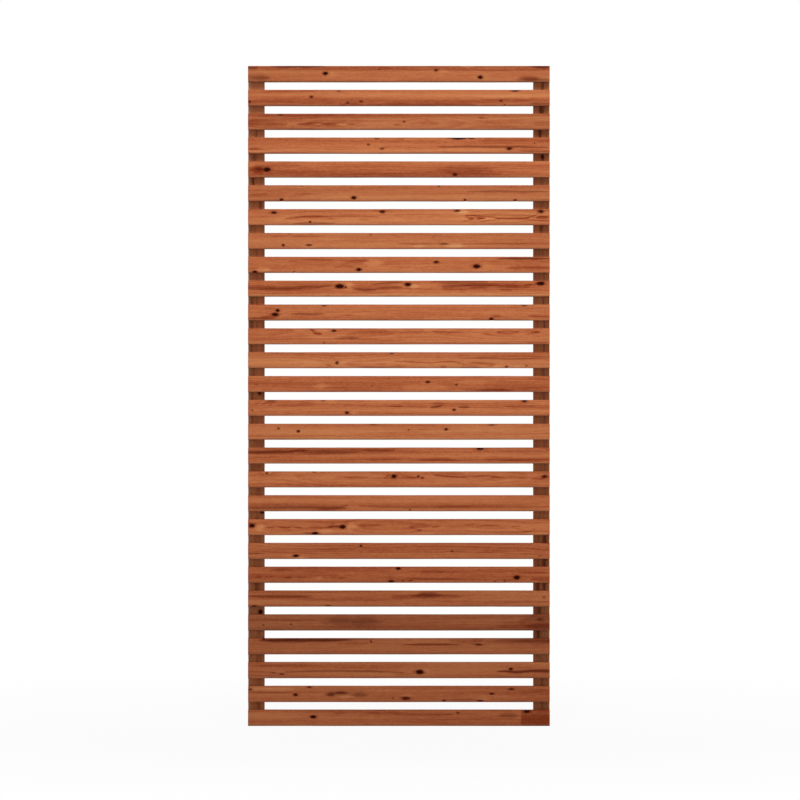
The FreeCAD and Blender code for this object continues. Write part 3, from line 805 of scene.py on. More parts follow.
# Lines and lenses of the slats' pointed figures, other marks with sharp ends, and stretches of an
# edge or of the grain that are redder or paler: half height in pixels of the photograph, share as
# above, and the points that the mark follows.
SLAT_LINES_PX = {
    1: [(1.2, 0.32, [(261, 68.3), (274, 68.0), (288, 68.0)]), (1.2, 0.28, [(398, 80.2), (487, 80.2)]),
        (1.4, -0.28, [(478, 68.8), (508, 68.5), (534, 68.4)]),
        (1.4, 0.45, [(519, 77.6), (528, 77.3), (538, 78.0)]),
        (2.0, 0.35, [(246.0, 67.6), (257.5, 67.4)])],
    2: [(1.6, 0.3, [(530, 98.4), (570, 98.4)]),
        (1.2, 0.55, [(366, 104.9), (390, 104.6), (412, 104.4), (440, 104.3), (462, 104.6), (474, 105.0)]),
        (1.0, 0.45, [(340, 104.8), (352, 104.5), (364, 104.8)])],
    3: [(1.4, -0.32, [(403, 125.2), (421, 125.2)]),
        (2.0, 0.4, [(240, 124.0), (262, 123.8), (286, 124.4)]),
        (0.7, 0.4, [(297, 124.3), (304, 124.2), (314, 124.4)]),
        (0.6, 0.4, [(299, 124.0), (308, 122.9), (322, 122.6)]),
        (0.6, 0.4, [(300, 124.6), (310, 125.6), (322, 126.4)]), (0.6, -0.4, [(287, 123.5), (297, 124.2)]),
        (0.7, -0.55, [(313, 124.5), (321, 124.3)]),
        (0.8, 0.4, [(322, 124.2), (330, 124.1), (338, 124.5)]),
        (0.6, 0.4, [(323, 123.8), (334, 122.7), (348, 122.5)]),
        (0.6, 0.4, [(324, 124.8), (334, 125.9), (346, 126.8)]), (0.9, -0.5, [(337, 124.3), (348, 124.2)]),
        (0.8, 0.45, [(347.5, 124.3), (354, 124.3)]),
        (0.5, 0.35, [(352, 124.6), (358, 125.8), (366, 126.4)]), (0.8, 0.5, [(394, 124.5), (399, 124.5)]),
        (0.7, -0.3, [(423, 126.5), (427, 124.0), (431, 125.5)]),
        (0.7, -0.4, [(488, 123.5), (492, 125.5)]), (0.6, 0.5, [(424, 120.0), (431, 120.4)]),
        (0.7, 0.5, [(478, 117.6), (488, 118.2)])],
    4: [(1.6, -0.3, [(405, 139.4), (430, 139.4), (452, 140.6), (478, 140.8)])],
    5: [(1.6, 0.35, [(262, 165.2), (278, 165.0), (300, 165.2)]),
        (3.0, -0.28, [(502, 174.0), (570, 174.0)])],
    6: [(1.6, 0.27, [(320, 187.4), (352, 187.4)])],
    7: [(2.0, 0.22, [(328, 219.4), (348, 219.2), (368, 219.4)]),
        (0.9, 0.6, [(286, 218.8), (303, 216.8), (328, 216.4), (354, 216.0), (378, 216.8)]),
        (0.9, 1.0, [(496, 218.4), (508, 218.6), (520, 218.6), (528, 218.2)]),
        (0.6, 0.8, [(525, 217.9), (531, 216.9), (535, 215.7), (537.5, 214.0)]),
        (0.6, 0.7, [(524, 219.3), (533, 220.2), (541, 220.6), (549, 220.5)]),
        (0.6, 0.8, [(465, 215.5), (474, 215.6), (483, 216.3), (492, 216.9), (500, 217.9)]),
        (0.6, 0.75, [(480, 221.6), (488, 220.4), (500, 219.2)]), (0.7, 0.9, [(477, 218.4), (484, 218.3)]),
        (0.6, 0.7, [(474.5, 217.2), (479, 217.6), (484, 218.2)]),
        (0.6, 0.7, [(474.5, 220.0), (479, 219.2), (484, 218.5)]),
        (0.8, 0.9, [(468, 218.6), (474, 218.7)]), (0.6, 0.7, [(465, 216.8), (469, 217.6), (474, 218.5)]),
        (0.6, 0.5, [(462, 222.3), (467, 220.4), (474, 219.0)]),
        (0.8, -0.15, [(485, 218.6), (495, 218.5)]),
        (0.6, 0.8, [(536.5, 217.4), (540, 216.4), (549, 216.4)]),
        (0.8, 0.6, [(537, 217.7), (543, 217.8), (549, 217.7)])],
    9: [(2.0, 0.3, [(414, 268.3), (450, 268.2), (476, 267.5)]), (0.6, 0.5, [(289, 261.0), (297, 261.2)]),
        (0.6, 0.45, [(299, 259.7), (314, 259.6), (330, 260.2)]),
        (0.8, 0.4, [(346, 261.6), (356, 260.8), (369, 261.0)]),
        (0.9, 0.15, [(384, 264.6), (402, 264.0)])],
    10: [(1.1, 0.4, [(506, 287.5), (518, 287.2), (530, 287.2)]),
         (1.2, -0.3, [(333, 283.2), (352, 283.0)]), (1.2, 0.32, [(443, 289.4), (467, 289.2)]),
         (2.0, 0.3, [(240, 287.4), (263, 288.1), (278, 288.5), (293, 288.1), (306, 287.0),
                     (331, 286.0)])],
    11: [(1.4, 0.5, [(261, 316.6), (271, 316.0), (279, 315.6)]),
         (1.6, -0.32, [(424, 318.4), (448, 318.2), (472, 318.4)])],
    12: [(1.6, -0.25, [(424, 330.4), (456, 330.4)]), (1.4, -0.22, [(483, 332.8), (497, 332.8)]),
         (1.4, -0.25, [(497, 330.0), (517, 330.0)]),
         (1.6, 0.32, [(350, 339.2), (363, 339.0), (378, 339.2)]),
         (0.7, 0.8, [(310.4, 328.6), (312.4, 330.4), (313.6, 332.4), (316.0, 333.7), (322.0, 334.4)]),
         (1.2, 0.4, [(314.0, 333.2), (321.0, 333.2)]), (1.2, -0.5, [(316.5, 330.2), (328.0, 330.4)]),
         (1.2, -0.3, [(486, 330.8), (500, 330.9)]),
         (0.5, 0.4, [(497, 331.7), (505, 330.7), (513, 330.6), (518, 331.7)]),
         (0.5, 0.4, [(497, 332.4), (506, 333.7), (513, 333.6), (518, 332.4)]),
         (1.0, 0.2, [(513, 331.9), (518.5, 332.0)]), (1.0, 0.2, [(496.5, 332.1), (501, 332.0)]),
         (0.7, 0.5, [(532, 332.2), (540.5, 332.1)]),
         (0.5, 0.4, [(526, 330.5), (533, 331.0), (540, 331.9)]),
         (0.5, 0.4, [(526, 334.6), (532, 333.5), (540, 332.4)]),
         (0.7, 0.4, [(471.5, 332.3), (480, 332.4), (490, 334.4)]),
         (0.5, 0.3, [(430, 331.2), (447, 332.0), (464, 332.8)])],
    13: [(1.2, -0.25, [(230, 366.6), (570, 366.6)]),
         (1.4, -0.35, [(478, 366.4), (500, 366.6), (524, 366.4)]),
         (0.6, 0.9, [(396, 361.2), (406, 361.6), (420, 362.4), (431, 362.8), (441, 362.0), (449, 361.5),
                     (455, 361.9), (460, 363.2), (464.5, 364.6)]),
         (0.6, 0.75, [(469, 363.2), (477, 362.6), (484, 363.2), (490, 363.8), (495, 364.2)]),
         (0.6, 0.7, [(488, 366.4), (493, 365.9), (495.5, 364.9)]),
         (0.9, 0.7, [(440.5, 366.8), (446, 366.8)]),
         (0.7, 0.65, [(460, 367.4), (470, 367.6), (482, 367.4)]),
         (0.6, 0.45, [(326, 360.8), (330, 361.8), (333.5, 363.4)]),
         (0.6, 0.4, [(325, 364.4), (330, 365.6), (334, 366.2)]),
         (0.6, 0.4, [(330, 357.0), (334, 356.8)])],
    14: [(1.2, -0.32, [(384, 390.4), (464, 390.4)]), (1.6, 0.25, [(528, 378.4), (580, 378.4)])],
    15: [(1.2, -0.35, [(314, 402.2), (336, 402.2)]),
         (0.6, 0.4, [(255, 404.2), (258, 402.6), (261, 401.4)]),
         (0.6, 0.4, [(262, 404.4), (266, 402.8), (270, 401.8)]),
         (0.7, 0.4, [(269, 404.6), (274, 402.4)])],
    16: [(1.1, -0.3, [(230, 438.4), (570, 438.4)])],
    17: [(1.0, -0.35, [(240, 462.6), (400, 462.4), (560, 462.6)]),
         (1.6, -0.3, [(396, 450.0), (436, 450.0), (472, 450.2)]),
         (1.6, -0.25, [(488, 450.0), (545, 450.2)])],
    18: [(1.4, 0.28, [(424, 473.2), (444, 473.0), (464, 473.4)]),
         (0.7, 0.6, [(384.5, 478.6), (387, 476.2), (390, 474.6)]),
         (1.2, 0.3, [(402, 475.4), (409, 477.0), (417, 478.6)]),
         (0.6, 0.7, [(434, 474.9), (445, 476.1), (456, 477.1), (467, 477.5)]),
         (0.5, 0.4, [(462, 477.0), (468, 476.0), (473, 476.4)]),
         (0.5, 0.4, [(463, 478.0), (469, 478.7), (475, 478.3)]),
         (0.5, 0.4, [(473, 477.0), (480, 476.2), (490, 476.2), (498, 476.8)]),
         (0.5, 0.4, [(474, 477.8), (482, 478.8), (490, 479.0), (497, 478.0)]),
         (0.6, 0.7, [(491, 477.2), (497, 477.2), (504, 477.5)]),
         (0.6, 0.5, [(518.5, 477.9), (528, 478.4)]), (0.6, 0.4, [(531, 478.6), (537, 478.8)]),
         (0.8, 0.4, [(538, 479.2), (544, 479.0)])],
    19: [(1.2, 0.5, [(318, 509.7), (332, 509.2), (345, 508.2)])],
    20: [(1.2, -0.35, [(527, 533.6), (547, 533.6)]),
         (1.4, 0.3, [(264, 529.8), (278, 529.6), (292, 529.8)]),
         (0.6, 0.55, [(266, 527.5), (273, 527.2)]), (0.7, 0.65, [(279, 527.2), (289.5, 527.6)]),
         (0.7, 0.65, [(295, 527.4), (302, 527.8)]),
         (0.5, 0.4, [(272, 527.2), (276, 526.5), (281, 527.1)]),
         (0.5, 0.4, [(288, 527.6), (292, 526.8), (296, 527.3)]),
         (0.6, 0.45, [(301, 527.8), (306, 528.5), (311, 527.4), (317, 526.8), (321, 527.7),
                      (328, 527.6)]),
         (1.1, 0.5, [(328, 527.6), (334, 526.4), (340, 526.2)]), (0.5, 0.5, [(409, 527.2), (415, 526.6)]),
         (0.5, 0.4, [(411, 527.6), (416, 529.4), (421, 530.4)]), (0.6, 0.5, [(432, 527.2), (438, 526.6)]),
         (0.5, 0.5, [(477, 526.6), (487, 525.4), (498, 525.8)]), (0.6, 0.5, [(511, 526.4), (521, 526.0)]),
         (0.5, 0.45, [(512, 527.0), (519, 529.4), (526, 531.8)]),
         (0.6, 0.45, [(524, 532.0), (530, 531.0), (536, 528.8)])],
    22: [(2.2, 0.45, [(532, 579.4), (590, 579.4)]), (1.0, 0.3, [(255, 577.0), (262, 577.3)]),
         (0.7, 0.25, [(265, 577.4), (268, 576.6)]), (0.7, 0.3, [(269.5, 577.4), (272.5, 576.6)]),
         (0.8, 0.2, [(278, 577.2), (285, 577.8)]), (0.8, 0.3, [(286, 577.6), (291, 577.7)]),
         (1.0, 0.25, [(297, 577.2), (301, 577.0)]), (1.0, 0.25, [(302.5, 577.4), (305.5, 576.8)]),
         (0.6, 0.3, [(322, 577.0), (327, 577.8)]), (0.8, 0.25, [(330, 577.4), (336.5, 577.6)]),
         (0.8, 0.3, [(339, 578.2), (346, 577.8)])],
    23: [(1.4, -0.32, [(398, 593.2), (419, 593.0)]),
         (2.0, 0.3, [(392, 597.2), (405, 596.9), (420, 596.7)]),
         (1.4, 0.2, [(436, 596.0), (448, 596.5), (462, 596.9)])],
    24: [(1.0, -0.4, [(543.5, 619.8), (548.5, 620.4)]), (0.8, 0.3, [(506, 622.2), (530, 621.2)])],
    25: [(1.6, 0.35, [(338, 643.5), (352, 643.0), (368, 643.5)]),
         (2.4, 0.3, [(450, 640.4), (482, 640.4)])],
    27: [(1.0, 0.5, [(326, 694.9), (330, 694.2), (334, 694.9)]),
         (0.9, 0.5, [(335, 693.5), (340, 692.8), (347, 693.7)]), (6.5, 0.1, [(494, 693.5), (590, 693.5)]),
         (6.5, 0.1, [(507, 693.5), (590, 693.5)]), (6.5, 0.1, [(520, 693.5), (590, 693.5)])],
    28: [(20.0, 0.5, [(521.4, 718.0), (560.0, 718.0)])],
}

# Dark strokes that wind along the grain: half height in pixels of the photograph, darkness, and the
# points that the stroke follows.
SLAT_STROKES_PX = {
    4: [(0.8, 0.6, [(438, 147.0), (470, 146.6), (500, 147.2), (520, 146.8), (549, 147.6)]),
        (0.9, 0.2, [(512, 149.5), (530, 150.6), (549, 151.0)])],
    10: [(1.4, 0.43, [(240, 287.4), (263, 288.1), (278, 288.5), (293, 288.1), (306, 287.0),
                      (316, 287.5), (324, 286.3), (331, 285.6)]),
         (1.3, 0.48, [(354, 288.8), (364, 290.0), (375, 289.8)]),
         (1.1, 0.35, [(372, 284.6), (386, 283.0), (402, 282.0)]),
         (1.0, 0.4, [(376, 288.4), (390, 287.4), (402, 287.0)]),
         (1.2, 0.46, [(442, 286.6), (450, 286.0), (460, 285.5), (470, 285.2), (484, 285.0),
                      (500, 285.0)]),
         (0.9, 0.4, [(443, 288.2), (450, 287.2), (456, 286.6)]),
         (1.0, 0.42, [(468, 288.4), (478, 287.6), (488, 287.8)]),
         (0.9, 0.4, [(432, 281.9), (460, 281.8), (488, 281.9)]),
         (0.8, 0.4, [(498, 286.6), (508, 285.8), (520, 285.6)]),
         (0.7, 0.5, [(525, 285.8), (528, 284.6), (532, 285.0)]),
         (1.0, 0.3, [(500, 289.6), (512, 290.2)])],
    15: [(0.75, 0.75, [(430.5, 407.4), (436, 406.9), (441, 406.2)]),
         (0.75, 0.7, [(458.5, 407.2), (464, 407.3), (469.5, 407.2)])],
    19: [(1.4, 0.35, [(236, 508.2), (262, 508.0), (285, 507.4), (310, 507.2), (330, 507.9),
                      (340, 506.6), (347, 505.2)]),
         (1.2, 0.4, [(360, 505.8), (380, 506.6), (402, 507.0), (430, 506.8), (470, 506.4)])],
    26: [(0.6, 0.35, [(240, 671.4), (262, 671.8), (273, 672.4), (281, 674.0)]),
         (0.7, 0.55, [(285, 671.9), (310, 671.3), (340, 671.1), (365, 671.3), (385, 671.8),
                      (404, 672.6)]),
         (1.1, 0.85, [(498, 671.5), (505, 671.2), (513, 672.0), (520, 672.1), (528, 671.2),
                      (538, 670.7), (560, 670.9)]),
         (1.0, 0.6, [(527, 671.2), (538, 671.6), (560, 671.8)])],
}

# Brown smudges of the slats' fronts, where the stain took darker without turning redder: first and
# last x, y, half height in pixels of the photograph, and share.
SLAT_SMUDGES_PX = {
    1: [(240, 257, 67.6, 1.8, 0.3), (246, 268, 78.0, 3.2, 0.45), (518, 549, 79.6, 1.8, 0.45)],
    5: [(440, 492, 170.0, 4.0, 0.12)],
    17: [(248, 340, 451.4, 2.4, 0.18), (320, 388, 451.2, 2.6, 0.17), (500, 549, 451.0, 1.2, 0.06)],
    19: [(236, 346, 507.6, 2.4, 0.28), (440, 549, 507.0, 1.6, 0.1)],
    22: [(248, 300, 580.6, 2.0, 0.15), (388, 392, 577.0, 1.8, 0.2), (286, 292, 577.4, 1.2, 0.2)],
    23: [(419, 438, 595.6, 2.5, 0.4)],
    24: [(322, 384, 621.5, 7.0, 0.12), (331, 349, 620.4, 3.4, 0.14), (334, 343, 620.8, 2.0, 0.06),
         (353, 376, 621.4, 4.8, 0.16), (358, 369, 621.6, 2.6, 0.03), (528, 556, 619.0, 3.0, 0.25),
         (528, 556, 626.5, 2.4, 0.2)],
    25: [(474, 650, 640.2, 4.0, 0.1), (500, 650, 640.2, 4.0, 0.15), (268, 300, 641.6, 1.2, 0.15)],
    27: [(327, 335, 694.4, 2.4, 0.35), (335, 349, 692.8, 1.8, 0.35), (353, 366, 694.8, 2.4, 0.35)],
}

# How much taller all these marks are drawn than they were read, the waves of those with one height,
# and how far these and the ones that follow points fade past their ends.
MARK_WIDENING = 1.2
MARK_WAVES = (0.0006, 0.3, 0.04)
MARK_FADE = 0.012
LINE_FADE = 0.003

# Slats that show pointed figures, where the pith runs close behind the front: the figure's x and y in
# pixels of the photograph, how deep the pith lies there, and how fast it runs deeper on both sides.
SLAT_FIGURES_PX = {
    3: (420, 124.0, 0.030, 0.020),
    7: (508, 218.7, 0.034, 0.020),
    12: (508, 332.2, 0.030, 0.016),
    13: (440, 364.0, 0.036, 0.020),
    18: (478, 476.4, 0.034, 0.020),
    20: (500, 526.0, 0.034, 0.020),
}

# How dark each slat is, from the top slat down, as shares: each slat's own tone, and in the lower
# slats also painted shade where the lamp's light falls off towards the foot.
SLAT_TONE_AND_SHADE_SHARES = (
    0.10, 0.00, 0.20, 0.00, 0.00, 0.15, 0.05, 0.10, 0.00, 0.00, 0.00, 0.00, 0.05, 0.00,
    0.00, 0.05, 0.00, 0.00, 0.00, 0.00, 0.14, 0.10, 0.25, 0.50, 0.40, 0.29, 0.30, 0.30,
)

# Growth: the seed before the first slat's, and in the other slats how far the pith lies behind or
# before the front and above or below the middle, and its greatest lean. Then the rings' widths.
SLAT_SEED = 100
SLAT_PITH_DEPTHS = (0.02, 0.06)
SLAT_PITH_HEIGHTS = (0.035, 0.09)
SLAT_PITH_LEAN = 0.008
SLAT_RING_WIDTHS = (0.0024, 0.0040)

# Finish: the top and bottom edges painted redder and darker as painted shade on their rounding,
# painted shade along the lower edge with its strength, reach and waves, planing that is uneven in
# slanting waves, dishes at the knots, and how much each end is trimmed at most.
SLAT_EDGE_SHADE_SHARE = 0.4
UNDERSIDE_SHADE_SHARE = 0.42
UNDERSIDE_SHADE_REACH = 0.0045
UNDERSIDE_SHADE_WAVES = (0.15, 0.3, 0.03)
PLANING_DEPTH = 0.0001
PLANING_SLANT = 4
PLANING_WAVES = (0.00005, 0.4, 0.08)
SLAT_DISH_DEPTH = 0.0006
SLAT_TRIM = 0.0002

slat_wood = stained_wood(
    "planed_stained_slat",
    grain_axis=0,
    pale=seen(229, 147, 94),
    middle=seen(201, 113, 70),
    dark=seen(154, 66, 34),
    roughness=0.75,
    bump_depth=0.0004,
)


def wavering_mark(draw, along, across, low, start, stop, y, half):
    """A stroke on the board at a lowest corner, that wavers about one y, from its first to its last
    x in pixels of the photograph."""
    line = panel_z(y) - low.z + wander(draw, along, *MARK_WAVES)
    ends = panel_x(start) - low.x, panel_x(stop) - low.x
    return stroke(along, across, *ends, line, half * PIXEL * MARK_WIDENING, MARK_FADE)


def drawn_line(along, across, low, half, way):
    """A stroke on the board at a lowest corner, through points in pixels of the photograph."""
    way_x, way_z = np.array(way).T
    way_x = panel_x(way_x) - low.x
    line = np.interp(along, way_x, panel_z(way_z) - low.z)
    return stroke(along, across, way_x[0], way_x[-1], line, half * PIXEL * MARK_WIDENING, LINE_FADE)


for number, name in enumerate(slat_names, start=1):
    low, high = slat_boxes[name]
    draw = np.random.default_rng(SLAT_SEED + number)
    size = (high.x - low.x, high.y - low.y, high.z - low.z)
    knots = []
    for x, y, long, tall, dark in SLAT_KNOTS_PX[number]:
        mark = dark * min(1, SMALL_KNOT_SHARE + KNOT_PIXEL_SHARE * long * tall)
        knots.append((panel_x(x) - low.x, panel_z(y) - low.z, long * PIXEL, tall * PIXEL, mark))
    knots = np.array(knots)
    crowded = knot_places(knots, SLAT_KNOT_STATIONS)
    points, outward, quads, corners = board(size, SLAT_EASE, SLAT_STEPS, crowded, SLAT_MAP_LENGTHS)
    along = points[:, 0].copy()
    across = points[:, 2].copy()
    reach, nearest = nearest_knot(points, knots)
    streak = np.zeros(len(points))
    for *place, dark in SLAT_STREAKS_PX[number]:
        streak = np.maximum(streak, dark * wavering_mark(draw, along, across, low, *place))
    # Painted shade on the rounded top and bottom edges, which turns them redder and darker.
    bands = SLAT_EDGE_SHADE_SHARE * np.abs(outward[:, 2])
    for *place, share in SLAT_BANDS_PX[number]:
        bands += share * wavering_mark(draw, along, across, low, *place)
    for half, share, way in SLAT_LINES_PX.get(number, []):
        bands += share * drawn_line(along, across, low, half, way)
    for half, dark, way in SLAT_STROKES_PX.get(number, []):
        streak = np.maximum(streak, dark * drawn_line(along, across, low, half, way))
    # Each slat's own tone, and in the lower slats painted shade where the lamp's light falls off.
    tone_and_shade = np.full(len(points), SLAT_TONE_AND_SHADE_SHARES[number - 1])
    for *place, share in SLAT_SMUDGES_PX.get(number, []):
        tone_and_shade += share * wavering_mark(draw, along, across, low, *place)
    pith = (
        draw.uniform(0, size[0]),
        draw.uniform(*SLAT_PITH_DEPTHS) * draw.choice([-1, 1]),
        size[2] / 2 + draw.uniform(*SLAT_PITH_HEIGHTS) * draw.choice([-1, 1]),
        draw.uniform(-SLAT_PITH_LEAN, SLAT_PITH_LEAN),
        draw.uniform(-SLAT_PITH_LEAN, SLAT_PITH_LEAN),
    )
    if number in SLAT_FIGURES_PX:
        x, y, depth, lean = SLAT_FIGURES_PX[number]
        pith = (panel_x(x) - low.x, depth, panel_z(y) - low.z, lean, 0.0)
    layers = {
        "rings": growth_rings(points, draw, pith, draw.uniform(*SLAT_RING_WIDTHS), knots),
        "bands": bands,
        "knot": reach,
        "knot_mark": knots[nearest, 4],
        "streak": streak,
        "end_grain": np.abs(outward[:, 0]),
        "tone_and_shade": tone_and_shade,
    }
    uneven = PLANING_DEPTH + wander(draw, along + PLANING_SLANT * across, *PLANING_WAVES)
    dish = SLAT_DISH_DEPTH * layers["knot_mark"] * np.exp(-(reach**2))
    points[:, 1:] -= outward[:, 1:] * (np.maximum(uneven, 0) + dish)[:, None]
    trim = draw.uniform(0, SLAT_TRIM, 2)
    # Painted shade along the lower rounded edge, wavering in strength along the slat.
    painted_underside_shade = UNDERSIDE_SHADE_SHARE * (1 + wander(draw, along, *UNDERSIDE_SHADE_WAVES))
    layers["painted_underside_shade"] = np.clip(painted_underside_shade, 0, 1) * np.exp(-((points[:, 2] / UNDERSIDE_SHADE_REACH) ** 2))
    points[:, 0] = trim[0] + points[:, 0] * (size[0] - trim.sum()) / size[0]
    slat = piece(f"{name}_board", points + np.array(low), quads, slat_wood, layers, corners)
    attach(slat, "root")
    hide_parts(name)


# Staples: zinc-plated wire bent to a U, 45 mm deep, and shot through the battens from behind. Only
# their crowns show, askew in the small hollows that they have pressed.

# The crown's length over both legs, the wire's thickness and width, how far its edges are eased,
# the points of its outline, the radius and the points of a bend, and the length of a chisel point.
STAPLE_CROWN = 0.011
STAPLE_WIRE = (0.0014, 0.0016)
STAPLE_WIRE_EASE = 0.0003
STAPLE_WIRE_SIDES = 12
STAPLE_BEND = 0.0011
STAPLE_BEND_STATIONS = 6
STAPLE_POINT = 0.0025

# Zinc, bright and dulled: its colours, the clouds that dull it, the finer ones left by drawing the
# wire, the strength and depth of those, and the roughness with what dulling adds to it.
ZINC_BRIGHT = seen(196, 192, 184)
ZINC_DULL = seen(142, 134, 122)
ZINC_DULL_CLOUDS = (160.0, 160.0, 160.0)
ZINC_DULL_EDGES = (0.45, 0.7)
ZINC_DRAWN_CLOUDS = (900.0, 900.0, 900.0)
ZINC_DRAWN_STRENGTH = 0.4
ZINC_DRAWN_DEPTH = 0.00005
ZINC_ROUGHNESS = 0.3
ZINC_DULL_ROUGHNESS = 0.25


def wire_section(thickness, width, ease):
    """The outline of flat-sided wire: a circle's points pushed out to a box and eased inwards."""
    angle = np.linspace(0, 2 * np.pi, STAPLE_WIRE_SIDES, endpoint=False) + np.pi / STAPLE_WIRE_SIDES
    box = np.stack([np.cos(angle), np.sin(angle)], axis=1)
    half = np.array([thickness, width]) / 2 - ease
    return np.clip(box * 2 * half.max(), -half, half) + box * ease


def staple_wire(length):
    """A U of wire in its own plane: the section carried up one leg, round two bends and down the
    other leg. Its points are cut to chisels by drawing the section's outer side further down."""
    half = STAPLE_CROWN / 2 - STAPLE_WIRE[0] / 2
    turn = np.linspace(0, np.pi / 2, STAPLE_BEND_STATIONS)
    leg = np.array([[half, -length], [half, -length / 2]])
    bend_out = half - STAPLE_BEND + STAPLE_BEND * np.cos(turn)
    bend_up = STAPLE_BEND * (np.sin(turn) - 1)
    path = np.concatenate([leg, np.stack([bend_out, bend_up], axis=1), [[0, 0]]])
    path = np.concatenate([path, path[-2::-1] * [-1, 1]])
    way = np.gradient(path, axis=0)
    way /= np.linalg.norm(way, axis=1, keepdims=True)
    out = np.stack([way[:, 1], -way[:, 0]], axis=1)
    section = wire_section(*STAPLE_WIRE, STAPLE_WIRE_EASE)
    rings = np.zeros((len(path), len(section), 3))
    rings[..., :2] = path[:, None] + out[:, None] * section[:, :1]
    rings[..., 2] = section[:, 1]
    slope = STAPLE_POINT * (1 / 2 - section[:, 0] / STAPLE_WIRE[0])
    rings[0, :, 1] += slope
    rings[-1, :, 1] += slope
    return rings


def zinc_plate(name):
    """Bright zinc that has dulled in clouds, over the fine marks of wire drawing."""
    nodes, material = new_material(name)
    drawn = speckle(nodes, ZINC_DRAWN_CLOUDS)
    dulled = speckle(nodes, ZINC_DULL_CLOUDS)
    bump = {"Strength": ZINC_DRAWN_STRENGTH, "Distance": ZINC_DRAWN_DEPTH, "Height": drawn}
    sockets = {
        "Base Color": mixed(smooth(dulled, *ZINC_DULL_EDGES), ZINC_BRIGHT, ZINC_DULL),
        "Metallic": 1.0,
        "Roughness": ZINC_ROUGHNESS + ZINC_DULL_ROUGHNESS * dulled,
        "Normal": nodes.node("ShaderNodeBump", {}, bump),
    }
    surface = nodes.node("ShaderNodeBsdfPrincipled", {}, sockets)
    nodes.node("ShaderNodeOutputMaterial", {}, {"Surface": surface})
    return material


staple_zinc = zinc_plate("zinc_plated_wire")

for side, turn in STAPLE_TURNS.items():
    name = f"{side}_batten_staples"
    low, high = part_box(name)
    rings = staple_wire(high.y - low.y - STAPLE_WIRE[0] / 2)
    loops, around = rings.shape[:2]
    cells = grid_quads(loops, around + 1)
    cells = np.where(cells % (around + 1) == around, cells - around, cells)
    cells = cells - cells // (around + 1)
    lids = np.stack([np.arange(around), np.arange(around)[::-1] + (loops - 1) * around])
    flat = rings.reshape(-1, 3)
    crown_y = high.y - STAPLE_WIRE[0] / 2
    middle_x = (low.x + high.x) / 2
    points = []
    faces = []
    for z in crossing_z:
        x = middle_x + flat[:, 0] * math.cos(turn) + flat[:, 2] * math.sin(turn)
        up = z - flat[:, 0] * math.sin(turn) + flat[:, 2] * math.cos(turn)
        count = len(points) * len(flat)
        points.append(np.stack([x, crown_y + flat[:, 1], up], axis=1))
        faces += (cells + count).tolist() + (lids + count).tolist()
    staples = piece(f"{name}_wire", np.concatenate(points), faces, staple_zinc)
    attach(staples, "root")
    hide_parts(name)


# Floor and surroundings: a plain white studio floor that keeps a faint shadow, and a white world
# that the camera and reflections see, with softer light from all round.

# The floor's half width, its greys for other light and for rays that show it, how much of a shadow
# it keeps, how far from the panel the shadow is full and has gone, and the light from all round.
FLOOR_HALF = 30.0
FLOOR_GREY = (0.8, 0.8, 0.8, 1.0)
FLOOR_SHOWN_GREY = (0.9, 0.9, 0.9, 1.0)
FLOOR_SHADOW_SHARE = 0.08
FLOOR_SHADOW_FULL = 0.5
FLOOR_SHADOW_REACH = 2.5
WORLD_LIGHT = 0.57
WHITE = (1.0, 1.0, 1.0, 1.0)


def shown(nodes):
    """1 for a ray from the camera, off a mirror or through glass, and 0 for any other light."""
    kinds = ("Is Camera Ray", "Is Glossy Ray", "Is Transmission Ray")
    rays = [nodes.node("ShaderNodeLightPath", {}, {}, kind) for kind in kinds]
    return nodes.maths("MINIMUM", rays[0] + rays[1] + rays[2], 1.0)


def studio_paper(name):
    """White paper that shines evenly where it is shown, less a share near the panel, which takes
    light and shadow as paper does."""
    nodes, material = new_material(name)
    shining = shown(nodes)
    paper = nodes.node("ShaderNodeBsdfDiffuse", {}, {"Color": mixed(shining, FLOOR_GREY, FLOOR_SHOWN_GREY)})
    bright = nodes.node("ShaderNodeEmission", {}, {"Color": WHITE, "Strength": 1.0})
    place = nodes.node("ShaderNodeTexCoord", {}, {}, "Object")
    from_panel = nodes.node("ShaderNodeVectorMath", {"operation": "LENGTH"}, {0: place}, "Value")
    shadow_share = FLOOR_SHADOW_SHARE * smooth(from_panel, FLOOR_SHADOW_REACH, FLOOR_SHADOW_FULL)
    surface = nodes.node("ShaderNodeMixShader", {}, {0: shining * (1 - shadow_share), 1: paper, 2: bright})
    nodes.node("ShaderNodeOutputMaterial", {}, {"Surface": surface})
    return material


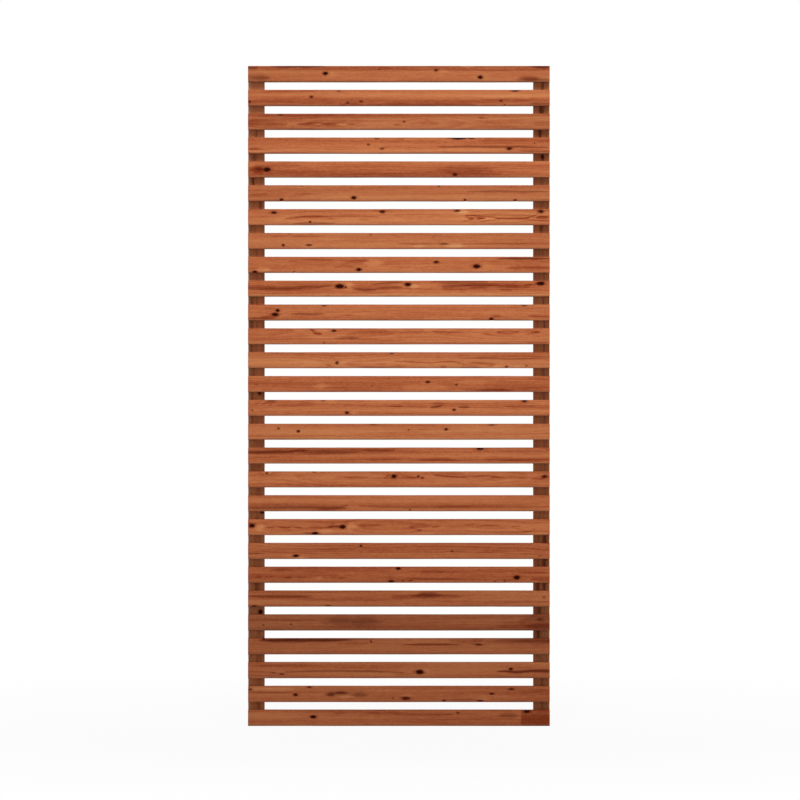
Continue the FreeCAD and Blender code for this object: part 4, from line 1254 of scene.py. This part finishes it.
floor_edge = np.array([-FLOOR_HALF, FLOOR_HALF])
floor_x, floor_y = np.meshgrid(floor_edge, floor_edge, indexing="ij")
floor_points = np.stack([floor_x, floor_y, np.zeros((2, 2))], axis=-1).reshape(-1, 3)
floor = piece("studio_floor", floor_points, grid_quads(2, 2), studio_paper("studio_floor"))

world = bpy.data.worlds.new("studio")
bpy.context.scene.world = world
world.use_nodes = True
world.node_tree.nodes.clear()
sky = Flow(world.node_tree)
strength = WORLD_LIGHT + (1 - WORLD_LIGHT) * shown(sky)
backdrop = sky.node("ShaderNodeBackground", {}, {"Color": WHITE, "Strength": strength})
sky.node("ShaderNodeOutputWorld", {}, {"Surface": backdrop})


# Lamp: one wide soft box with a grid, above and in front of the panel and turned to its upper half,
# so that the upper slats are brightest and each slat shades the battens below it.

LAMP_SIZE = (2.0, 0.8)
LAMP_SPREAD = math.radians(44)
LAMP_POWER = 4.3
LAMP_PLACE = (0.08, -2.0, 3.56)
LAMP_TILT = math.radians(40.5)

lamp_data = bpy.data.lights.new("soft_box", "AREA")
lamp_data.shape = "RECTANGLE"
lamp_data.size, lamp_data.size_y = LAMP_SIZE
lamp_data.spread = LAMP_SPREAD
lamp_data.energy = LAMP_POWER
lamp = bpy.data.objects.new("soft_box", lamp_data)
lamp.location = LAMP_PLACE
lamp.rotation_euler = (LAMP_TILT, 0.0, 0.0)
bpy.context.scene.collection.objects.link(lamp)


# Camera: level, straight in front of the panel, far enough away that the slats' tops and
# undersides hardly show.

PICTURE_PX = 800
PICTURE_MIDDLE_PX = PICTURE_PX / 2
CAMERA_DISTANCE = 10.6
CAMERA_SENSOR = 36.0

camera_data = bpy.data.cameras.new("camera")
camera_data.sensor_width = CAMERA_SENSOR
camera_data.lens = CAMERA_SENSOR * CAMERA_DISTANCE / (PICTURE_PX * PIXEL)
camera = bpy.data.objects.new("camera", camera_data)
front_y = slat_boxes[slat_names[0]][0].y
camera.location = (panel_x(PICTURE_MIDDLE_PX), front_y - CAMERA_DISTANCE, panel_z(PICTURE_MIDDLE_PX))
camera.rotation_euler = (math.radians(90), 0.0, 0.0)
bpy.context.scene.collection.objects.link(camera)
bpy.context.scene.camera = camera
bpy.context.scene.view_settings.view_transform = "Standard"
